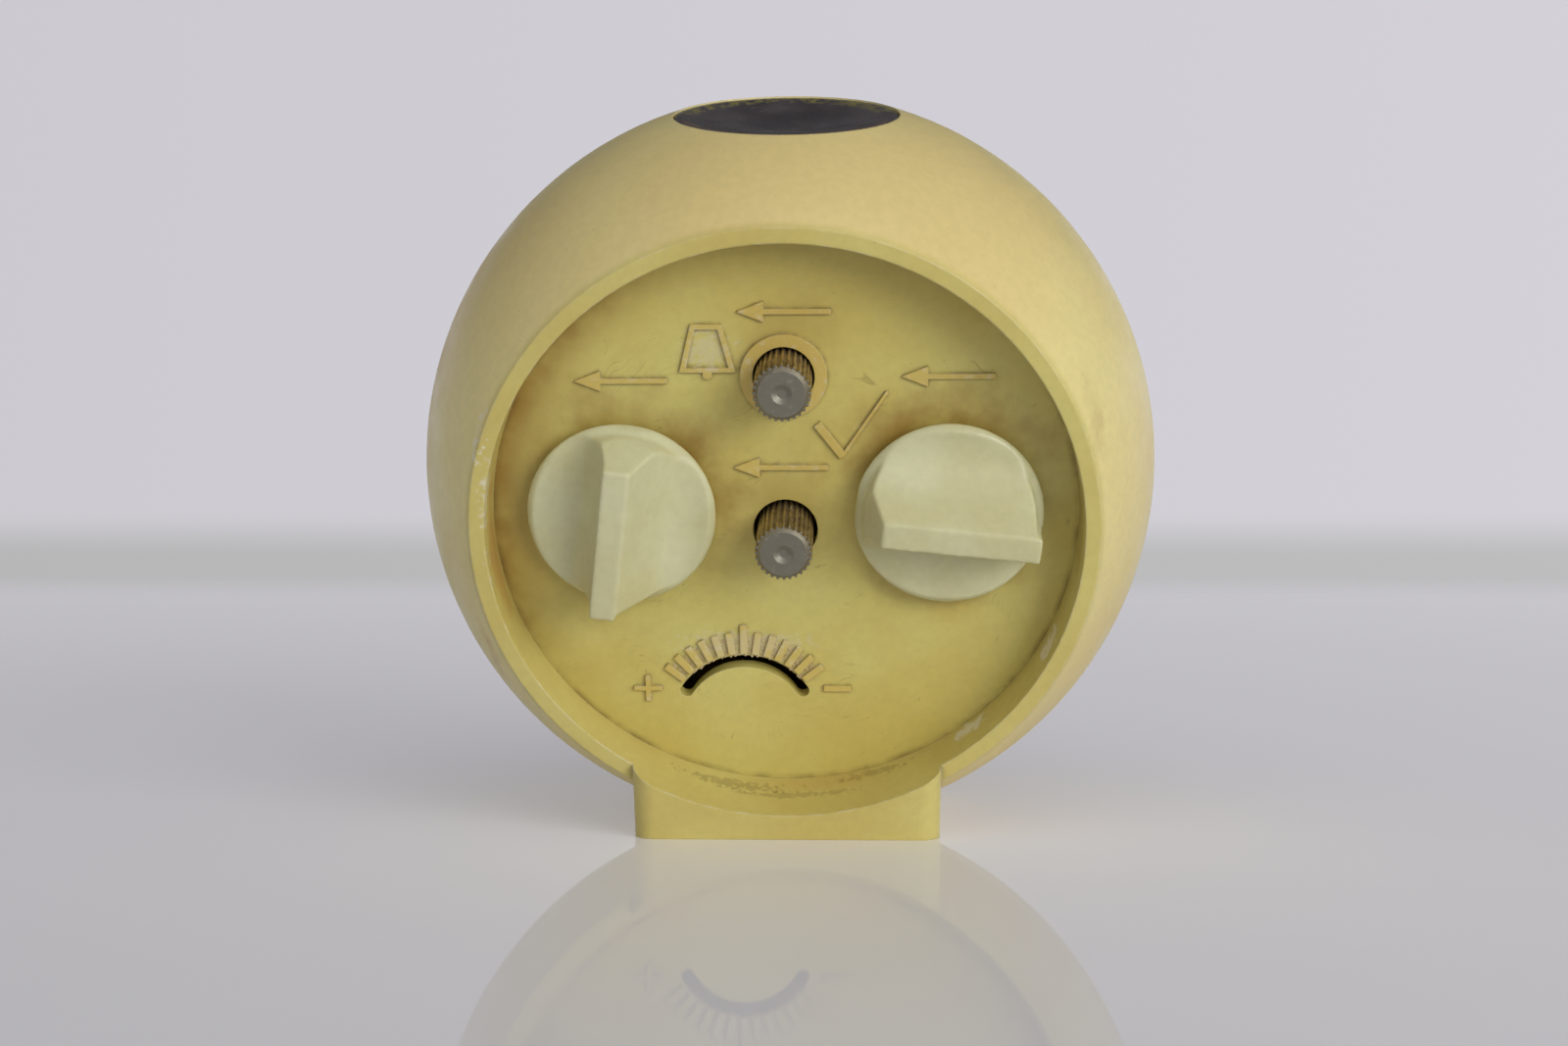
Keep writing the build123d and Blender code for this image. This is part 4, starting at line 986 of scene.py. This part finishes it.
def makeCrumbs():
    # small flattened lumps spread over the faces of the given patch
    tree, given, result = newShapeTree("crumbs", [
        ("Density", "float"), ("Size", "float"), ("Flatness", "float"), ("Seed", "int"),
        ("Finish", "material")])
    spread = addNode(tree, "GeometryNodeDistributePointsOnFaces", distribute_method="RANDOM")
    feed(tree, given.outputs["Geometry"], spread.inputs["Mesh"])
    feed(tree, given.outputs["Density"], spread.inputs["Density"])
    feed(tree, given.outputs["Seed"], spread.inputs["Seed"])
    lump = addNode(tree, "GeometryNodeMeshIcoSphere")
    lump.inputs["Subdivisions"].default_value = 2
    feed(tree, given.outputs["Size"], lump.inputs["Radius"])
    scale = addNode(tree, "FunctionNodeRandomValue", data_type="FLOAT")
    scale.inputs[2].default_value, scale.inputs[3].default_value = crumbLook["scales"]
    feed(tree, given.outputs["Seed"], scale.inputs["Seed"])
    squash = addNode(tree, "ShaderNodeCombineXYZ")
    feed(tree, scale.outputs[1], squash.inputs["X"])
    feed(tree, maths(tree, "MULTIPLY", scale.outputs[1], crumbLook["stretch"]), squash.inputs["Y"])
    feed(tree, maths(tree, "MULTIPLY", scale.outputs[1], given.outputs["Flatness"]), squash.inputs["Z"])
    copies = addNode(tree, "GeometryNodeInstanceOnPoints")
    feed(tree, spread.outputs["Points"], copies.inputs["Points"])
    feed(tree, lump.outputs["Mesh"], copies.inputs["Instance"])
    feed(tree, squash.outputs[0], copies.inputs["Scale"])
    finishTree(tree, copies, given.outputs["Finish"], result)
    return tree


def ringPatch(centre, inner, outer, start, end, level, steps=24):
    # flat sector between two radii
    corners, faces = [], []
    for step in range(steps + 1):
        turn = radians(start + (end - start) * step / steps)
        for radius in (inner, outer):
            corners.append((centre.x + radius * cos(turn), centre.y + radius * sin(turn), level))
    for step in range(steps):
        first = 2 * step
        faces.append((first, first + 1, first + 3, first + 2))
    mesh = bpy.data.meshes.new("patch")
    mesh.from_pydata(corners, [], faces)
    return mesh


def plateFaceLevel():
    # commonest level of the plate's outward faces
    levels = {}
    for face in frame["nodes"]["back_plate"].data.polygons:
        if face.normal.dot(backWay) > 0.99:
            level = round(inClock(face.center).z, 2)
            levels[level] = levels.get(level, 0) + face.area
    return max(levels, key=levels.get)


def makeTickCrumbs():
    look = crumbLook
    finish = makePaint("residueFinish", look["pale"], look["drift"], 0.8)
    start, end = 90 - look["halfAngle"], 90 + look["halfAngle"]
    patch = ringPatch(rateAt, look["inner"], look["outer"], start, end, plateFaceLevel())
    area = sum(face.area for face in patch.polygons)
    piece = grownMesh("tickCrumbs", makeCrumbs(), {
        "Density": look["count"] / area, "Size": look["size"], "Flatness": look["flatness"],
        "Seed": look["seed"], "Finish": finish}, patch)
    piece.data.transform(clockFrame)
    for face in piece.data.polygons:
        face.use_smooth = True
    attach(piece, bodyOf["back_plate"])
    return piece


tickCrumbs = makeTickCrumbs()
print("residue scattered", len(tickCrumbs.data.polygons))


# ---- table and backdrop
tableLook = {
    "colour": srgb(236, 235, 238),
    "glow": 0.06,
    "specular": 0.16,
    "wall": srgb(199, 197, 203),
    "wallBright": (1.1, 1.1, 1.1, 1.0),
    "band": srgb(178, 177, 178),
    "bandTop": (-0.050, -0.005),
    "wallBase": (0.05, 0.05, 0.05, 1.0),
    "halfWidth": 2.0,
    "farEdge": 0.49,
    "fadeFrom": 0.36,
    "wallAway": 1.6,
    "wallHalfWidth": 2.5,
    "wallFoot": -0.5,
    "wallTop": 0.62,
    "driftReach": 0.9,
    "roughness": 0.03,
}


def plainPlane(name, corners, material):
    mesh = bpy.data.meshes.new(name)
    mesh.from_pydata(corners, [], [(0, 1, 2, 3)])
    piece = addPiece(name, mesh)
    mesh.materials.append(material)
    return piece


def makeTableFinish():
    # glossy pale table whose far edge fades away like something out of focus
    material = bpy.data.materials.new("tableFinish")
    material.use_nodes = True
    tree = material.node_tree
    shader = tree.nodes["Principled BSDF"]
    shader.inputs["Base Color"].default_value = tableLook["colour"]
    shader.inputs["Roughness"].default_value = tableLook["roughness"]
    shader.inputs["Specular IOR Level"].default_value = tableLook["specular"]
    shader.inputs["Emission Color"].default_value = tableLook["colour"]
    shader.inputs["Emission Strength"].default_value = tableLook["glow"]
    parts = addNode(tree, "ShaderNodeSeparateXYZ")
    feed(tree, addNode(tree, "ShaderNodeTexCoord").outputs["Object"], parts.inputs[0])
    fade = ramp(tree, parts.outputs["Y"], tableLook["farEdge"], tableLook["fadeFrom"])
    tree.links.new(fade, shader.inputs["Alpha"])
    return material


def makeWallFinish():
    # pale wall with a soft darker band low down and a slow drift from side to side
    material = bpy.data.materials.new("wallFinish")
    material.use_nodes = True
    tree = material.node_tree
    shader = tree.nodes["Principled BSDF"]
    coordinate = addNode(tree, "ShaderNodeTexCoord").outputs["Object"]
    parts = addNode(tree, "ShaderNodeSeparateXYZ")
    feed(tree, coordinate, parts.inputs[0])
    band = ramp(tree, parts.outputs["Z"], *tableLook["bandTop"])
    colour = mixColour(tree, band, tableLook["band"], tableLook["wall"])
    drift = ramp(tree, parts.outputs["X"], -tableLook["driftReach"], tableLook["driftReach"], smooth=False)
    colour = mixColour(tree, drift, colour, tableLook["wallBright"], "MULTIPLY")
    shader.inputs["Base Color"].default_value = tableLook["wallBase"]
    shader.inputs["Specular IOR Level"].default_value = 0.0
    tree.links.new(colour, shader.inputs["Emission Color"])
    shader.inputs["Emission Strength"].default_value = 1.0
    return material


def makeTable():
    half, near, far = tableLook["halfWidth"], -tableLook["halfWidth"], tableLook["farEdge"]
    corners = [(-half, near, 0), (half, near, 0), (half, far, 0), (-half, far, 0)]
    return plainPlane("table", corners, makeTableFinish())


def makeWall():
    half, away, foot, top = (tableLook[part] for part in ("wallHalfWidth", "wallAway", "wallFoot", "wallTop"))
    corners = [(-half, away, foot), (half, away, foot), (half, away, top), (-half, away, top)]
    return plainPlane("wall", corners, makeWallFinish())


makeTable()
makeWall()
print("table and wall set")


# ---- light
lightLook = {
    "bright": (0.84, 0.83, 0.86, 1.0),
    "dim": (0.13, 0.13, 0.14, 1.0),
    "strength": 0.74,
    "brightWay": (-0.12, -0.76, -0.66),
    "dimEnd": -0.66,
    "brightEnd": 0.46,
    "aim": (0, 0, 0.04),
}

# place, size and power of each soft light
softLights = {
    "windowSoft": ((0.62, -0.72, 0.26), (0.6, 0.5), 5.0),
    "overheadSoft": ((0.10, -0.45, 0.8), (0.7, 0.5), 0.7),
}


def makePaleRoom():
    # a bright room in front of the clock that gets dim above and behind it
    look = lightLook
    world = bpy.data.worlds.new("paleRoom")
    bpy.context.scene.world = world
    world.use_nodes = True
    tree = world.node_tree
    direction = addNode(tree, "ShaderNodeTexCoord").outputs["Generated"]
    frontness = vectorMaths(tree, "DOT_PRODUCT", direction, look["brightWay"])
    share = ramp(tree, frontness, look["dimEnd"], look["brightEnd"])
    colour = mixColour(tree, share, look["dim"], look["bright"])
    background = tree.nodes["Background"]
    tree.links.new(colour, background.inputs[0])
    background.inputs[1].default_value = look["strength"]


def addSoftLight(name, place, size, power):
    light = bpy.data.lights.new(name, "AREA")
    light.shape = "RECTANGLE"
    light.size, light.size_y = size
    light.energy = power
    lamp = addPiece(name, light)
    lamp.location = place
    lamp.rotation_euler = (Vector(lightLook["aim"]) - Vector(place)).to_track_quat("-Z", "Y").to_euler()
    return lamp


makePaleRoom()
for name, (place, size, power) in softLights.items():
    addSoftLight(name, place, size, power)

# ---- camera
cameraLook = {"at": (0.00723, -0.24725, 0.04547), "down": 1.977, "left": 1.860, "roll": -0.06, "lens": 45.15}
camera = addPiece("camera", bpy.data.cameras.new("camera"))
camera.data.lens = cameraLook["lens"]
camera.data.sensor_width = 36.0
camera.data.clip_start = 0.01
camera.location = cameraLook["at"]
down, left = radians(cameraLook["down"]), radians(cameraLook["left"])
lookWay = Vector((-sin(left) * cos(down), cos(left) * cos(down), -sin(down)))
aimTurn = lookWay.to_track_quat("-Z", "Y").to_matrix().to_4x4()
camera.rotation_euler = (aimTurn @ Matrix.Rotation(radians(cameraLook["roll"]), 4, "Z")).to_euler()
bpy.context.scene.camera = camera
bpy.context.scene.view_settings.view_transform = "Standard"
print("light and camera set")
